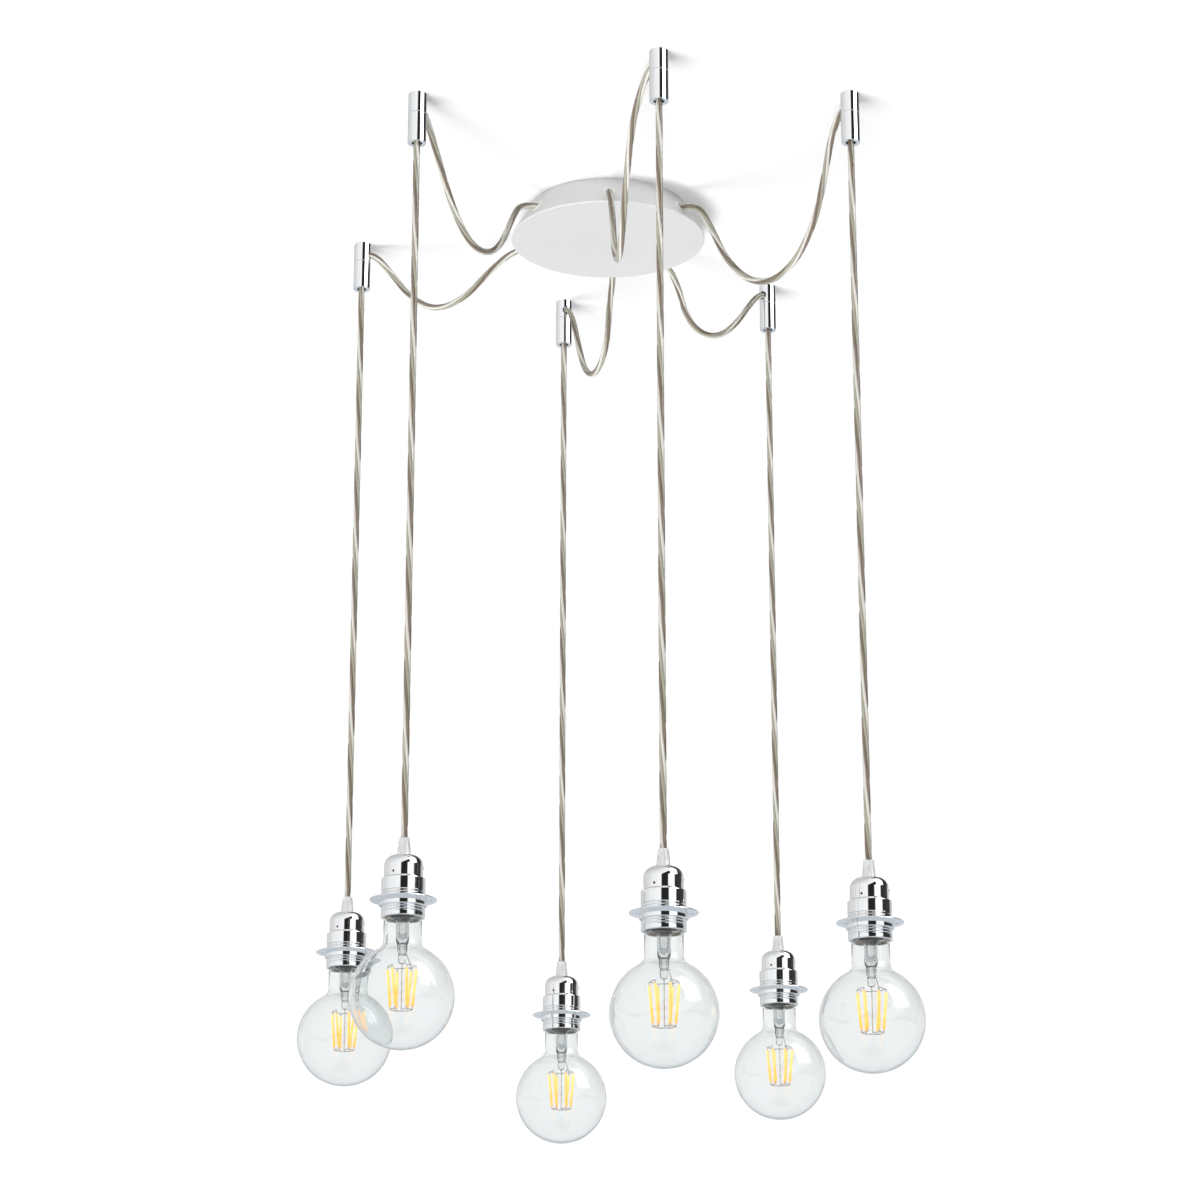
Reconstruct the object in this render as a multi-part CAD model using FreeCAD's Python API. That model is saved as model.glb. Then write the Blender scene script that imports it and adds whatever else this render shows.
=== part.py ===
import FreeCAD, Part
import math
import os

# Cluster pendant for a ceiling: one canopy, six cables carried over ceiling hooks, six bare bulbs.
#
# Millimetres, +Z up. The ceiling is the plane Z = 0, and the origin is the centre of the canopy on
# that plane. The pendant is seen from -Y. Azimuths are in degrees: 0 faces -Y and +90 faces +X.

V = FreeCAD.Vector

# ---- canopy ---------------------------------------------------------------------------------
CANOPY_FLOOR_R = 102.5       # flat white underside, the widest part
CANOPY_RIM_R = 82.0          # where the slanted wall meets the ceiling
CANOPY_H = 35.0
SHEET = 1.2                  # pressed steel sheet
FLOOR_EDGE_R = 1.1           # rounding between the floor and the wall
OUTLET_Z = -21.0             # height of the cable outlets
OUTLET_AZIMUTHS = {1: -120.0, 2: -52.0, 3: 176.0, 4: 0.0, 5: 145.0, 6: 52.0}

# ---- bracket inside the canopy ------------------------------------------------------------------
BRACKET_W = 16.0
BRACKET_T = 1.5
BRACKET_LEG = 15.0           # how far the legs reach down the wall
BRACKET_GAP = 0.7            # between a flat leg and the round wall, at the leg's middle
FIXING_SPACING = 90.0        # the two ceiling screw holes
FIXING_HOLE_R = 2.5
MAINS_HOLE_R = 6.0
SIDE_SCREW_AZIMUTHS = (-90.0, 90.0)
SIDE_SCREW_R = 1.5
SIDE_SCREW_HEAD_R = 2.8
SIDE_SCREW_L = 7.0
SIDE_SCREW_Z = -8.0

# ---- cable -----------------------------------------------------------------------------------
CABLE_D = 6.5
CABLE_R = CABLE_D / 2
CORE_R = 0.85
CORE_PITCH = 1.8             # spacing of the three cores where they leave the jacket
CORE_PLAY = 0.15             # radial room of a core in its hole, and the gap at its end
JACKET_END = 78.0            # the jacket ends this far from the canopy's axis
CABLE_SLACK = 0.1            # radial room of the cable in a bushing or grip

# ---- terminal block ---------------------------------------------------------------------------
BLOCK_R = 22.0
BLOCK_BOTTOM = -27.0
CORE_STOP_R = 15.5           # the cores end this far from the axis, inside the block
TERMINAL_AT_R = 18.5         # circle on which the terminal screws stand
TERMINAL_PITCH = 2.8
TERMINAL_SCREW_R = 1.3
SLOT_W = 0.5
SLOT_DEPTH = 0.6

# ---- grommets and clamp collars ---------------------------------------------------------------
GROMMET_HOLE_R = 5.0
GROMMET_R = 6.6
GROMMET_T = 1.2
CLAMP_R = 5.5                # collar gripping the cable inside the canopy
CLAMP_L = 6.0
CLAMP_BEHIND = 4.0           # how far the collar stands outside the jacket's end

# ---- ceiling hooks ------------------------------------------------------------------------------
HOOKS = {1: (-265.0, 96.0), 2: (-188.0, -276.0), 3: (-47.0, 259.0),
         4: (44.0, -371.0), 5: (181.0, 212.0), 6: (232.0, -281.0)}
HOOK_R = 9.0
HOOK_L = 52.0
HOOK_BASE_L = 21.0
HOOK_BORE_R = 5.0
HOOK_ROOF = 6.0              # solid top of the base, with the ceiling screw's hole
HOOK_SCREW_R = 2.25
HOOK_SPIGOT_R = 7.0
HOOK_SPIGOT_L = 7.0
HOOK_THREAD_SLACK = 0.1
HOOK_EDGE = 0.35             # chamfer at the seam and at the mouth
SIDE_HOLE_R = 4.75
SIDE_HOLE_Z = -12.5
COLLET_T = 3.0               # ring that grips the cable between base and sleeve
SWING_Z = -47.0              # the cable flexes here, just inside the mouth
SWING_GAP = 0.3              # between the held cable and the hanging cable

# ---- hanging lengths: ceiling to the centre of each bulb's globe ---------------------------------
DROPS = {1: 863.0, 2: 883.0, 3: 900.0, 4: 913.0, 5: 881.0, 6: 904.0}

# ---- lampholder: heights are measured up from its lip --------------------------------------------
BODY_R = 20.0
BODY_WALL = 0.8
THREAD_PITCH = 2.6
THREAD_DEPTH = 0.6
THREAD_FROM = 4.2
THREADS = 8
MOUTH_R = 17.8
LIP_T = 1.4
LIP_EDGE = 0.8               # rounding of the lip
LIP_BEVEL = 0.4
SEAM_Z = 27.0                # where the cap's skirt meets the threaded body
BODY_TOP = 33.0
SHOULDER_Z = 35.2            # top of the skirt
SHOULDER_EDGE = 0.8
DOME_R = 17.6
DOME_Z = 37.2                # foot of the dome
DOME_COVE = 0.9              # sloping step between shoulder and dome
DOME_TOP = 57.5
DOME_FLAT_R = 8.0
CAP_WALL = 0.9
CAP_HOLE_R = 5.0
DIMPLE_R = 1.1               # locking hole at the front left
DIMPLE_AZIMUTH = -29.0
DIMPLE_Z = 40.5
LOCK_R = 1.3                 # locking screw at the right
LOCK_PROUD = 0.7
LOCK_AZIMUTH = 90.0
LOCK_Z = 46.0

# ---- cord grip on the lampholder's cap -----------------------------------------------------------
GRIP_BOTTOM_R = 6.3
GRIP_TOP_R = 4.8
GRIP_FOOT = 1.2              # straight foot below the taper
GRIP_L = 16.0
GRIP_SPIGOT_L = 6.5
GRIP_THREAD_SLACK = 0.05
GRIP_NUT_R = 7.5
GRIP_NUT_T = 3.0
CABLE_END = 47.0             # the jacket ends inside the dome

# ---- insulator and contacts ----------------------------------------------------------------------
CORE_CLEAR = 0.2             # between the insulator and the threaded body
CORE_DOME_CLEAR = 0.5        # between the insulator and the dome
CORE_BOTTOM = 6.0
CORE_FLOOR = 29.0            # above the bulb's contact
CORE_TOP = 35.5
SCREW_SHELL_R = 13.45        # bore of the brass screw shell
SCREW_SHELL_WALL = 0.5
SCREW_SHELL_FROM = 4.0
SCREW_SHELL_LIP = 15.4
TERMINAL_X = 8.0
TERMINAL_R = 2.6
TERMINAL_H = 4.0

# ---- shade ring ----------------------------------------------------------------------------------
RING_R = 30.6
RING_T = 1.3
RING_Z = 16.0                # underside of the flange
RING_CLEAR = 0.3
RING_COLLAR_WALL = 1.5
RING_COLLAR_L = 5.0
RING_HOLE_R = 1.9
RING_HOLE_AT = 24.6

# ---- bulb: heights are measured up from the lampholder's lip -------------------------------------
GLOBE_R = 47.5
GLOBE_BELOW_LIP = 71.0       # depth of the globe's centre
GLASS = 0.8
NECK_R = 17.2
NECK_FILLET = 10.0
GLASS_END_R = 11.6           # narrow end inside the screw cap
GLASS_TOP = 7.0
CAP_FROM = 3.0               # lower rim of the screw cap
CAP_GAP = 0.5                # between the glass shoulder and that rim
CAP_R = 13.05
CAP_THREAD = 0.8
CAP_PITCH = 3.63
CAP_TURNS = 4
CAP_SKIRT = 1.5              # plain skirt below the thread
CAP_TOP = 22.0
CAP_TAPER = 2.5              # height of the cone above the thread
CAP_SHEET = 0.8
CONTACT_R = 4.6
CONTACT_SEAT_R = 8.0
CONTACT_T = 1.2
CONTACT_TOP = 27.0
CONTACT_GAP = 0.3
TURN_CLEAR = 0.3             # between the globe and the cap that turns in it

# ---- mount and filaments: heights are measured up from the globe's centre ------------------------
STEM_R = 6.0
STEM_WALL = 1.0
STEM_FLARE_H = 7.0
STEM_TO = 50.0
PINCH_TO = 38.5
PINCH_W = 9.0
PINCH_T = 3.4
ROD_R = 3.2
ROD_TO = 29.5
STICKS = 6
STICK_R = 1.3
STICK_TOP = 24.5
STICK_BOTTOM = -8.5
CAGE_TOP_R = 13.0
CAGE_BOTTOM_R = 10.0
CAGE_TWIST = 8.0             # degrees between a stick's top and its foot
CAGE_TURN = 22.0             # the first stick's azimuth
WIRE_R = 0.45
WIRE_RISE = 3.0              # bare wire beyond a stick's end

# ---- cable routes between each hook and its outlet -----------------------------------------------
# Points chosen along the hanging cable: distance from the hook towards the outlet, height and,
# where the cable bows sideways, how far it stands to the left of that line.
OUTLET_BEND_R = 114.0        # the route's last corner stands this far from the canopy's axis
SWAGS = {
    1: [(13, -12.5), (31, -33), (54, -66), (84, -84), (116, -72), (144, -42)],
    2: [(13, -12.5), (31, -31), (55, -65), (86, -98), (121, -114), (158, -107), (186, -83), (204, -52)],
    3: [(13, -12.5), (30, -33), (47, -71), (64, -103), (89, -121), (118, -117), (136, -92), (141, -57)],
    4: [(11, -12.5, 6), (28, -25, 11), (57, -45, 14), (91, -66, 12), (125, -94, 9), (156, -117, 6),
        (187, -132, 3), (215, -125, 1), (235, -98, 0), (243, -60, 0)],
    5: [(13, -12.5), (30, -29), (54, -60), (84, -84), (115, -88), (138, -72), (146, -48)],
    6: [(13, -12.5), (29, -31), (40, -67), (56, -111), (87, -144), (127, -154), (168, -138),
        (204, -102), (229, -57)],
}
BEND_SHARE = 0.45            # an arc takes this share of the shorter run beside it

WALL_SLOPE = math.atan2(CANOPY_FLOOR_R - CANOPY_RIM_R, CANOPY_H)
LEVEL_WALL = SHEET / math.cos(WALL_SLOPE)       # the wall's thickness along a level line
BODY_BORE_R = BODY_R - THREAD_DEPTH - BODY_WALL
SKIRT_BORE_R = BODY_BORE_R + BODY_WALL / 2
DOME_BORE_R = DOME_R - CAP_WALL
INSULATOR_R = DOME_BORE_R - CORE_DOME_CLEAR
GLOBE_Z = -GLOBE_BELOW_LIP


# ---- small helpers -------------------------------------------------------------------------------
def turned(points):
    """The closed outline of (radius, height) points turned about Z.

    A point may carry a third value: the (radius, height) that an arc to the next point passes through.
    """
    edges = []
    for here, after in zip(points, points[1:] + points[:1]):
        a = V(here[0], 0, here[1])
        b = V(after[0], 0, after[1])
        if a.isEqual(b, 1e-7):
            continue
        if len(here) == 3:
            edges.append(Part.Arc(a, V(here[2][0], 0, here[2][1]), b).toShape())
        else:
            edges.append(Part.LineSegment(a, b).toShape())
    return Part.Face(Part.Wire(edges)).revolve(V(0, 0, 0), V(0, 0, 1), 360)


def disc(r, z0, z1, x=0.0):
    """An upright cylinder between two heights."""
    return Part.makeCylinder(r, z1 - z0, V(x, 0, z0))


def rod(a, b, r):
    """A round rod from point a to point b."""
    return Part.makeCylinder(r, (b - a).Length, a, b - a)


def heading(azimuth):
    """The level unit vector at an azimuth."""
    turn = math.radians(azimuth)
    return V(math.sin(turn), -math.cos(turn), 0)


def at_height(z):
    """The point of the axis at a height."""
    return V(0, 0, z)


def arc_middle(centre_r, centre_z, radius, from_deg, to_deg):
    """The middle point of an arc in the (radius, height) plane."""
    middle = math.radians((from_deg + to_deg) / 2)
    return (centre_r + radius * math.cos(middle), centre_z + radius * math.sin(middle))


def export(node, solids):
    """Writes one sub-part, a solid or a group of separate solids."""
    shape = solids[0] if len(solids) == 1 else Part.makeCompound(solids)
    shape.exportStep("parts/%s.step" % node)
    print("%-16s %2d solids %9.1f mm3 valid %s" % (node, len(shape.Solids), shape.Volume, shape.isValid()))


# ---- cable routes --------------------------------------------------------------------------------
def route(n):
    """The points of cable n: up the hook's bore, out of its side, along the swag, into the canopy."""
    hook = V(HOOKS[n][0], HOOKS[n][1], 0)
    out = heading(OUTLET_AZIMUTHS[n])
    corner = out * OUTLET_BEND_R
    along = (corner - hook).normalize()
    left = V(0, 0, 1).cross(along)
    points = [hook + at_height(SWING_Z + CABLE_R + SWING_GAP), hook + at_height(SIDE_HOLE_Z)]
    for step, height, *aside in SWAGS[n]:
        points.append(hook + along * step + left * sum(aside) + at_height(height))
    points.append(corner + at_height(OUTLET_Z))
    points.append(out * JACKET_END + at_height(OUTLET_Z))
    return points


def cable(n):
    """Cable n as a tube along straight runs joined by tangent arcs."""
    points = route(n)
    start = points[0]
    edges = []
    radii = []
    for before, corner, after in zip(points, points[1:], points[2:]):
        back = before - corner
        ahead = after - corner
        half_turn = (math.pi - back.getAngle(ahead)) / 2
        reach = BEND_SHARE * min(back.Length, ahead.Length)
        radius = reach / math.tan(half_turn)
        a = corner + back.normalize() * reach
        b = corner + ahead.normalize() * reach
        inwards = (back + ahead).normalize()
        middle = corner + inwards * (radius / math.cos(half_turn) - radius)
        edges.append(Part.LineSegment(start, a).toShape())
        edges.append(Part.Arc(a, middle, b).toShape())
        radii.append(radius)
        start = b
    edges.append(Part.LineSegment(start, points[-1]).toShape())
    path = Part.Wire(edges)
    section = Part.Wire([Part.Circle(points[0], points[1] - points[0], CABLE_R).toShape()])
    solid = path.makePipeShell([section], True, False)
    ratio = solid.Volume / (math.pi * CABLE_R ** 2 * path.Length)
    print("cable %d: %.0f mm, radii %s, volume over section times length %.4f" % (
        n, path.Length, " ".join("%.0f" % radius for radius in radii), ratio))
    return solid


# ---- canopy --------------------------------------------------------------------------------------
def wall_r(z):
    """The wall's outer radius at a height."""
    return CANOPY_RIM_R - z * math.tan(WALL_SLOPE)


def wall_normal(azimuth):
    """The outward normal of the slanted wall."""
    return heading(azimuth) * math.cos(WALL_SLOPE) + at_height(math.sin(WALL_SLOPE))


def canopy_cone(inset, z_top, z_bottom):
    """The solid inside the wall's outer surface moved in by a level distance."""
    return turned([(0, z_top), (wall_r(z_top) - inset, z_top),
                   (wall_r(z_bottom) - inset, z_bottom), (0, z_bottom)])


def side_screw(azimuth):
    """A countersunk screw through the wall into a bracket leg, flush with the wall."""
    normal = wall_normal(azimuth)
    seat = heading(azimuth) * wall_r(SIDE_SCREW_Z) + at_height(SIDE_SCREW_Z)
    head_l = SIDE_SCREW_HEAD_R - SIDE_SCREW_R
    head = Part.makeCone(SIDE_SCREW_HEAD_R, SIDE_SCREW_R, head_l, seat, normal * -1)
    shank = rod(seat, seat - normal * SIDE_SCREW_L, SIDE_SCREW_R)
    return head.fuse(shank).removeSplitter()


def canopy_cover(screws):
    """The pressed cover: flat floor, slanted wall, cable outlets and two screw holes."""
    outer = canopy_cone(0, 0, -CANOPY_H)
    rim = [edge for edge in outer.Edges if edge.Closed and edge.CenterOfMass.z < -0.9 * CANOPY_H]
    outer = outer.makeFillet(FLOOR_EDGE_R, rim)
    cover = outer.cut(canopy_cone(LEVEL_WALL, SHEET, SHEET - CANOPY_H))
    for azimuth in OUTLET_AZIMUTHS.values():
        centre = heading(azimuth) * wall_r(OUTLET_Z) + at_height(OUTLET_Z)
        through = wall_normal(azimuth) * (4 * SHEET)
        cover = cover.cut(rod(centre - through, centre + through, GROMMET_HOLE_R))
    return cover.cut(screws)


def canopy_bracket(screws):
    """The steel strip under the ceiling, with slanted legs that the cover is screwed to."""
    lean = math.tan(WALL_SLOPE)
    top_x = wall_r(0) - LEVEL_WALL - BRACKET_GAP
    foot_x = top_x + BRACKET_LEG * lean
    level_t = BRACKET_T / math.cos(WALL_SLOPE)
    side = [(top_x, 0), (foot_x, -BRACKET_LEG), (foot_x - level_t, -BRACKET_LEG),
            (top_x + BRACKET_T * lean - level_t, -BRACKET_T)]
    outline = side + [(-x, z) for x, z in reversed(side)]
    corners = [V(x, -BRACKET_W / 2, z) for x, z in outline]
    strip = Part.Face(Part.makePolygon(corners + corners[:1])).extrude(V(0, BRACKET_W, 0))
    holes = [disc(MAINS_HOLE_R, -2 * BRACKET_T, BRACKET_T)]
    for x in (-FIXING_SPACING / 2, FIXING_SPACING / 2):
        holes.append(disc(FIXING_HOLE_R, -2 * BRACKET_T, BRACKET_T, x))
    return strip.cut(holes + screws)


def terminal_block():
    """A round block under the bracket: each cable's three cores enter one side, under three screws."""
    block = disc(BLOCK_R, BLOCK_BOTTOM, -BRACKET_T).cut(disc(MAINS_HOLE_R, BLOCK_BOTTOM, -BRACKET_T))
    hole_r = CORE_R + CORE_PLAY
    cores = []
    screws = []
    for azimuth in OUTLET_AZIMUTHS.values():
        out = heading(azimuth)
        across = V(0, 0, 1).cross(out)
        for place in (-1, 0, 1):
            inner = out * CORE_STOP_R + across * (place * TERMINAL_PITCH) + at_height(OUTLET_Z)
            outer = out * (JACKET_END - CORE_PLAY) + across * (place * CORE_PITCH) + at_height(OUTLET_Z)
            block = block.cut(rod(inner, outer, hole_r))
            cores.append(rod(inner + out * CORE_PLAY, outer, CORE_R))
            foot = out * TERMINAL_AT_R + across * (place * TERMINAL_PITCH) + at_height(BLOCK_BOTTOM)
            block = block.cut(rod(foot, foot + at_height(OUTLET_Z - BLOCK_BOTTOM), TERMINAL_SCREW_R))
            screw = rod(foot, foot + at_height(OUTLET_Z - BLOCK_BOTTOM - hole_r), TERMINAL_SCREW_R)
            slot = Part.makeBox(2 * TERMINAL_SCREW_R, SLOT_W, SLOT_DEPTH,
                                foot - V(TERMINAL_SCREW_R, SLOT_W / 2, 0))
            screws.append(screw.cut(slot))
    return [block] + cores + screws


def cable_bushings():
    """Grommets in the wall, clamp collars behind them, and the gripping rings in the hooks."""
    pieces = []
    bore_r = CABLE_R + CABLE_SLACK
    for azimuth in OUTLET_AZIMUTHS.values():
        out = heading(azimuth)
        normal = wall_normal(azimuth)
        outside = out * wall_r(OUTLET_Z) + at_height(OUTLET_Z)
        inside = outside - normal * SHEET
        level = at_height(OUTLET_Z)
        passage = rod(out * JACKET_END + level, out * OUTLET_BEND_R + level, bore_r)
        outer_flange = rod(outside - normal * SHEET, outside + normal * GROMMET_T, GROMMET_R)
        outer_flange = outer_flange.cut(canopy_cone(0, 0, -CANOPY_H))
        inner_flange = rod(inside - normal * GROMMET_T, inside + normal * SHEET, GROMMET_R)
        inner_flange = inner_flange.common(canopy_cone(LEVEL_WALL, 0, SHEET - CANOPY_H))
        neck = rod(inside - normal * (GROMMET_T / 2), outside + normal * (GROMMET_T / 2), GROMMET_HOLE_R)
        grommet = neck.fuse([outer_flange, inner_flange]).removeSplitter()
        pieces.append(grommet.cut(passage))
        collar_end = out * (JACKET_END + CLAMP_BEHIND) + level
        pieces.append(rod(collar_end, collar_end + out * CLAMP_L, CLAMP_R).cut(passage))
    ring_top = -HOOK_BASE_L - HOOK_SPIGOT_L
    ring = disc(HOOK_SPIGOT_R, ring_top - COLLET_T, ring_top).cut(disc(bore_r, ring_top - COLLET_T, ring_top))
    for x, y in HOOKS.values():
        pieces.append(ring.translated(V(x, y, 0)))
    return pieces


# ---- ceiling hooks -------------------------------------------------------------------------------
def hook_base(n):
    """The part screwed to the ceiling: bore, side hole facing the swag, threaded spigot."""
    spigot_end = -HOOK_BASE_L - HOOK_SPIGOT_L
    base = turned([(HOOK_SCREW_R, 0), (HOOK_R, 0), (HOOK_R, HOOK_EDGE - HOOK_BASE_L),
                   (HOOK_R - HOOK_EDGE, -HOOK_BASE_L), (HOOK_SPIGOT_R, -HOOK_BASE_L),
                   (HOOK_SPIGOT_R, spigot_end), (HOOK_BORE_R, spigot_end),
                   (HOOK_BORE_R, -HOOK_ROOF), (HOOK_SCREW_R, -HOOK_ROOF)])
    bend, exit_point = route(n)[1:3]
    base = base.translated(V(HOOKS[n][0], HOOKS[n][1], 0))
    facing = (exit_point - bend).normalize()
    return base.cut(rod(bend, bend + facing * (2 * HOOK_R), SIDE_HOLE_R))


def hook_sleeve(n):
    """The sleeve screwed onto the base, open below where the cable leaves."""
    shoulder = -HOOK_BASE_L - HOOK_SPIGOT_L - COLLET_T
    socket_r = HOOK_SPIGOT_R + HOOK_THREAD_SLACK
    sleeve = turned([(socket_r, -HOOK_BASE_L), (HOOK_R - HOOK_EDGE, -HOOK_BASE_L),
                     (HOOK_R, -HOOK_BASE_L - HOOK_EDGE), (HOOK_R, HOOK_EDGE - HOOK_L),
                     (HOOK_R - HOOK_EDGE, -HOOK_L), (HOOK_BORE_R + HOOK_EDGE, -HOOK_L),
                     (HOOK_BORE_R, HOOK_EDGE - HOOK_L), (HOOK_BORE_R, shoulder), (socket_r, shoulder)])
    return sleeve.translated(V(HOOKS[n][0], HOOKS[n][1], 0))


# ---- lampholder, drawn with its lip at Z = 0 -----------------------------------------------------
def holder_body():
    """The threaded chrome body: rolled ridges outside, a lip turned in at the mouth."""
    root_r = BODY_R - THREAD_DEPTH
    edge_r = BODY_R - LIP_EDGE
    points = [(MOUTH_R, LIP_BEVEL), (MOUTH_R + LIP_BEVEL, 0),
              (edge_r, 0, arc_middle(edge_r, LIP_EDGE, LIP_EDGE, -90, 0)), (BODY_R, LIP_EDGE)]
    for turn in range(THREADS):
        z = THREAD_FROM + turn * THREAD_PITCH
        points += [(BODY_R, z), (root_r, z + THREAD_PITCH / 4),
                   (root_r, z + THREAD_PITCH / 2), (BODY_R, z + 3 * THREAD_PITCH / 4)]
    points += [(BODY_R, SEAM_Z), (SKIRT_BORE_R, SEAM_Z), (SKIRT_BORE_R, BODY_TOP),
               (BODY_BORE_R, BODY_TOP), (BODY_BORE_R, LIP_T), (MOUTH_R, LIP_T)]
    return turned(points)


def holder_cap():
    """The domed cap with its skirt, its locking hole and the locking screw."""
    bend = DOME_R - DOME_FLAT_R
    bend_z = DOME_TOP - bend
    edge_r = BODY_R - SHOULDER_EDGE
    edge_z = SHOULDER_Z + SHOULDER_EDGE
    cap = turned([
        (CAP_HOLE_R, DOME_TOP), (DOME_FLAT_R, DOME_TOP, arc_middle(DOME_FLAT_R, bend_z, bend, 90, 0)),
        (DOME_R, bend_z), (DOME_R, DOME_Z), (DOME_R + DOME_COVE, edge_z),
        (edge_r, edge_z, arc_middle(edge_r, SHOULDER_Z, SHOULDER_EDGE, 90, 0)),
        (BODY_R, SHOULDER_Z), (BODY_R, SEAM_Z), (SKIRT_BORE_R, SEAM_Z), (SKIRT_BORE_R, SHOULDER_Z),
        (DOME_BORE_R, SHOULDER_Z),
        (DOME_BORE_R, bend_z, arc_middle(DOME_FLAT_R, bend_z, bend - CAP_WALL, 0, 90)),
        (DOME_FLAT_R, DOME_TOP - CAP_WALL), (CAP_HOLE_R, DOME_TOP - CAP_WALL)])
    spot = heading(DIMPLE_AZIMUTH)
    dimple = rod(at_height(DIMPLE_Z), spot * BODY_R + at_height(DIMPLE_Z), DIMPLE_R)
    side = heading(LOCK_AZIMUTH)
    inner_end = side * (DOME_BORE_R - CAP_WALL) + at_height(LOCK_Z)
    screw = rod(inner_end, side * (DOME_R + LOCK_PROUD) + at_height(LOCK_Z), LOCK_R)
    return [cap.cut([dimple, screw]), screw]


def cord_grip():
    """The clear tapered grip screwed through the cap, with its nut inside."""
    bore_r = CABLE_R + CABLE_SLACK
    under = DOME_TOP - GRIP_SPIGOT_L
    thread_r = CAP_HOLE_R - GRIP_THREAD_SLACK
    grip = turned([(bore_r, DOME_TOP + GRIP_L), (GRIP_TOP_R, DOME_TOP + GRIP_L),
                   (GRIP_BOTTOM_R, DOME_TOP + GRIP_FOOT), (GRIP_BOTTOM_R, DOME_TOP),
                   (thread_r, DOME_TOP), (thread_r, under), (bore_r, under)])
    nut_top = DOME_TOP - CAP_WALL
    nut = disc(GRIP_NUT_R, nut_top - GRIP_NUT_T, nut_top).cut(disc(thread_r, nut_top - GRIP_NUT_T, nut_top))
    return [grip, nut]


def holder_core():
    """The moulded insulator with the brass screw shell, the spring contact, terminals and core ends."""
    shell_r = SCREW_SHELL_R + SCREW_SHELL_WALL
    shell_foot = SCREW_SHELL_FROM + SCREW_SHELL_WALL
    insulator = turned([(shell_r, CORE_BOTTOM), (BODY_BORE_R - CORE_CLEAR, CORE_BOTTOM),
                        (BODY_BORE_R - CORE_CLEAR, BODY_TOP), (INSULATOR_R, BODY_TOP), (INSULATOR_R, CORE_TOP),
                        (0, CORE_TOP), (0, CORE_FLOOR), (shell_r, CORE_FLOOR)])
    shell = turned([(SCREW_SHELL_R, SCREW_SHELL_FROM), (SCREW_SHELL_LIP, SCREW_SHELL_FROM),
                    (SCREW_SHELL_LIP, shell_foot), (shell_r, shell_foot), (shell_r, CORE_FLOOR),
                    (SCREW_SHELL_R, CORE_FLOOR)])
    pieces = [insulator, shell, disc(CONTACT_R, CONTACT_TOP + CONTACT_GAP, CORE_FLOOR)]
    terminal_top = CORE_TOP + TERMINAL_H
    for side in (-1, 1):
        pieces.append(disc(TERMINAL_R, CORE_TOP, terminal_top, side * TERMINAL_X))
        jacket = V(side * CORE_PITCH / 2, 0, CABLE_END - CORE_R)
        pieces.append(rod(jacket, V(side * TERMINAL_X, 0, terminal_top), CORE_R))
    return pieces


def shade_ring():
    """The ring that clamps a shade: flange with two spanner holes, collar that runs on the thread."""
    bore_r = BODY_R + RING_CLEAR
    collar_r = bore_r + RING_COLLAR_WALL
    edge = RING_T / 2
    rim_r = RING_R - edge
    ring = turned([(bore_r, RING_Z - RING_COLLAR_L), (collar_r, RING_Z - RING_COLLAR_L), (collar_r, RING_Z),
                   (rim_r, RING_Z, (RING_R, RING_Z + edge)), (rim_r, RING_Z + RING_T),
                   (bore_r, RING_Z + RING_T)])
    holes = [disc(RING_HOLE_R, RING_Z - RING_T, RING_Z + 2 * RING_T, side * RING_HOLE_AT) for side in (-1, 1)]
    return ring.cut(holes)


# ---- bulb, drawn with the lampholder's lip at Z = 0 ----------------------------------------------
def glass_outline(inset):
    """The bulb's outline moved in by a wall thickness, from the end in the cap down to the pole."""
    shoulder_r = NECK_R - GLASS_END_R
    shoulder_z = CAP_FROM - CAP_GAP - shoulder_r
    ball = GLOBE_R - inset
    fillet_r = NECK_R + NECK_FILLET
    fillet_z = GLOBE_Z + math.sqrt((GLOBE_R + NECK_FILLET) ** 2 - fillet_r ** 2)
    slope = math.degrees(math.atan2(fillet_z - GLOBE_Z, fillet_r))
    touch = arc_middle(0, GLOBE_Z, ball, slope, slope)
    shoulder = shoulder_r - inset
    return [(GLASS_END_R - inset, GLASS_TOP), (GLASS_END_R - inset, shoulder_z + shoulder),
            (GLASS_END_R, shoulder_z + shoulder, arc_middle(GLASS_END_R, shoulder_z, shoulder, 90, 0)),
            (NECK_R - inset, shoulder_z),
            (NECK_R - inset, fillet_z, arc_middle(fillet_r, fillet_z, NECK_FILLET + inset, 180, 180 + slope)),
            (touch[0], touch[1], arc_middle(0, GLOBE_Z, ball, slope, -90)),
            (0, GLOBE_Z - ball), (0, GLASS_TOP)]


def bulb_globe():
    """The blown glass in two solids that meet at the neck's foot: the globe, and the neck above it."""
    glass = turned(glass_outline(0)).cut(turned(glass_outline(GLASS)))
    foot = glass_outline(0)[5][1]
    above = disc(GLOBE_R, foot, GLASS_TOP)
    return [glass.cut(above), glass.common(above)]


def bulb_cap():
    """The rolled screw cap, its glass insulator and the centre contact."""
    bore_r = GLASS_END_R + TURN_CLEAR
    root_r = CAP_R - CAP_THREAD
    cone = CAP_THREAD * 2
    points = [(bore_r, CAP_FROM), (CAP_R, CAP_FROM)]
    for turn in range(CAP_TURNS):
        z = CAP_FROM + CAP_SKIRT + turn * CAP_PITCH
        points += [(CAP_R, z), (root_r, z + CAP_PITCH / 3), (root_r, z + CAP_PITCH / 2),
                   (CAP_R, z + 5 * CAP_PITCH / 6)]
    under = CAP_TOP - CAP_SHEET
    points += [(CAP_R, CAP_TOP - CAP_TAPER), (CAP_R - cone, CAP_TOP), (CONTACT_SEAT_R, CAP_TOP),
               (CONTACT_SEAT_R, under), (bore_r - cone, under), (bore_r, CAP_TOP - CAP_TAPER)]
    seat = CONTACT_TOP - CONTACT_T
    insulator = turned([(0, under), (CONTACT_SEAT_R, under), (CONTACT_SEAT_R, CAP_TOP),
                        (CONTACT_R, seat), (0, seat)])
    return [turned(points), insulator, disc(CONTACT_R, seat, CONTACT_TOP)]


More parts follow.
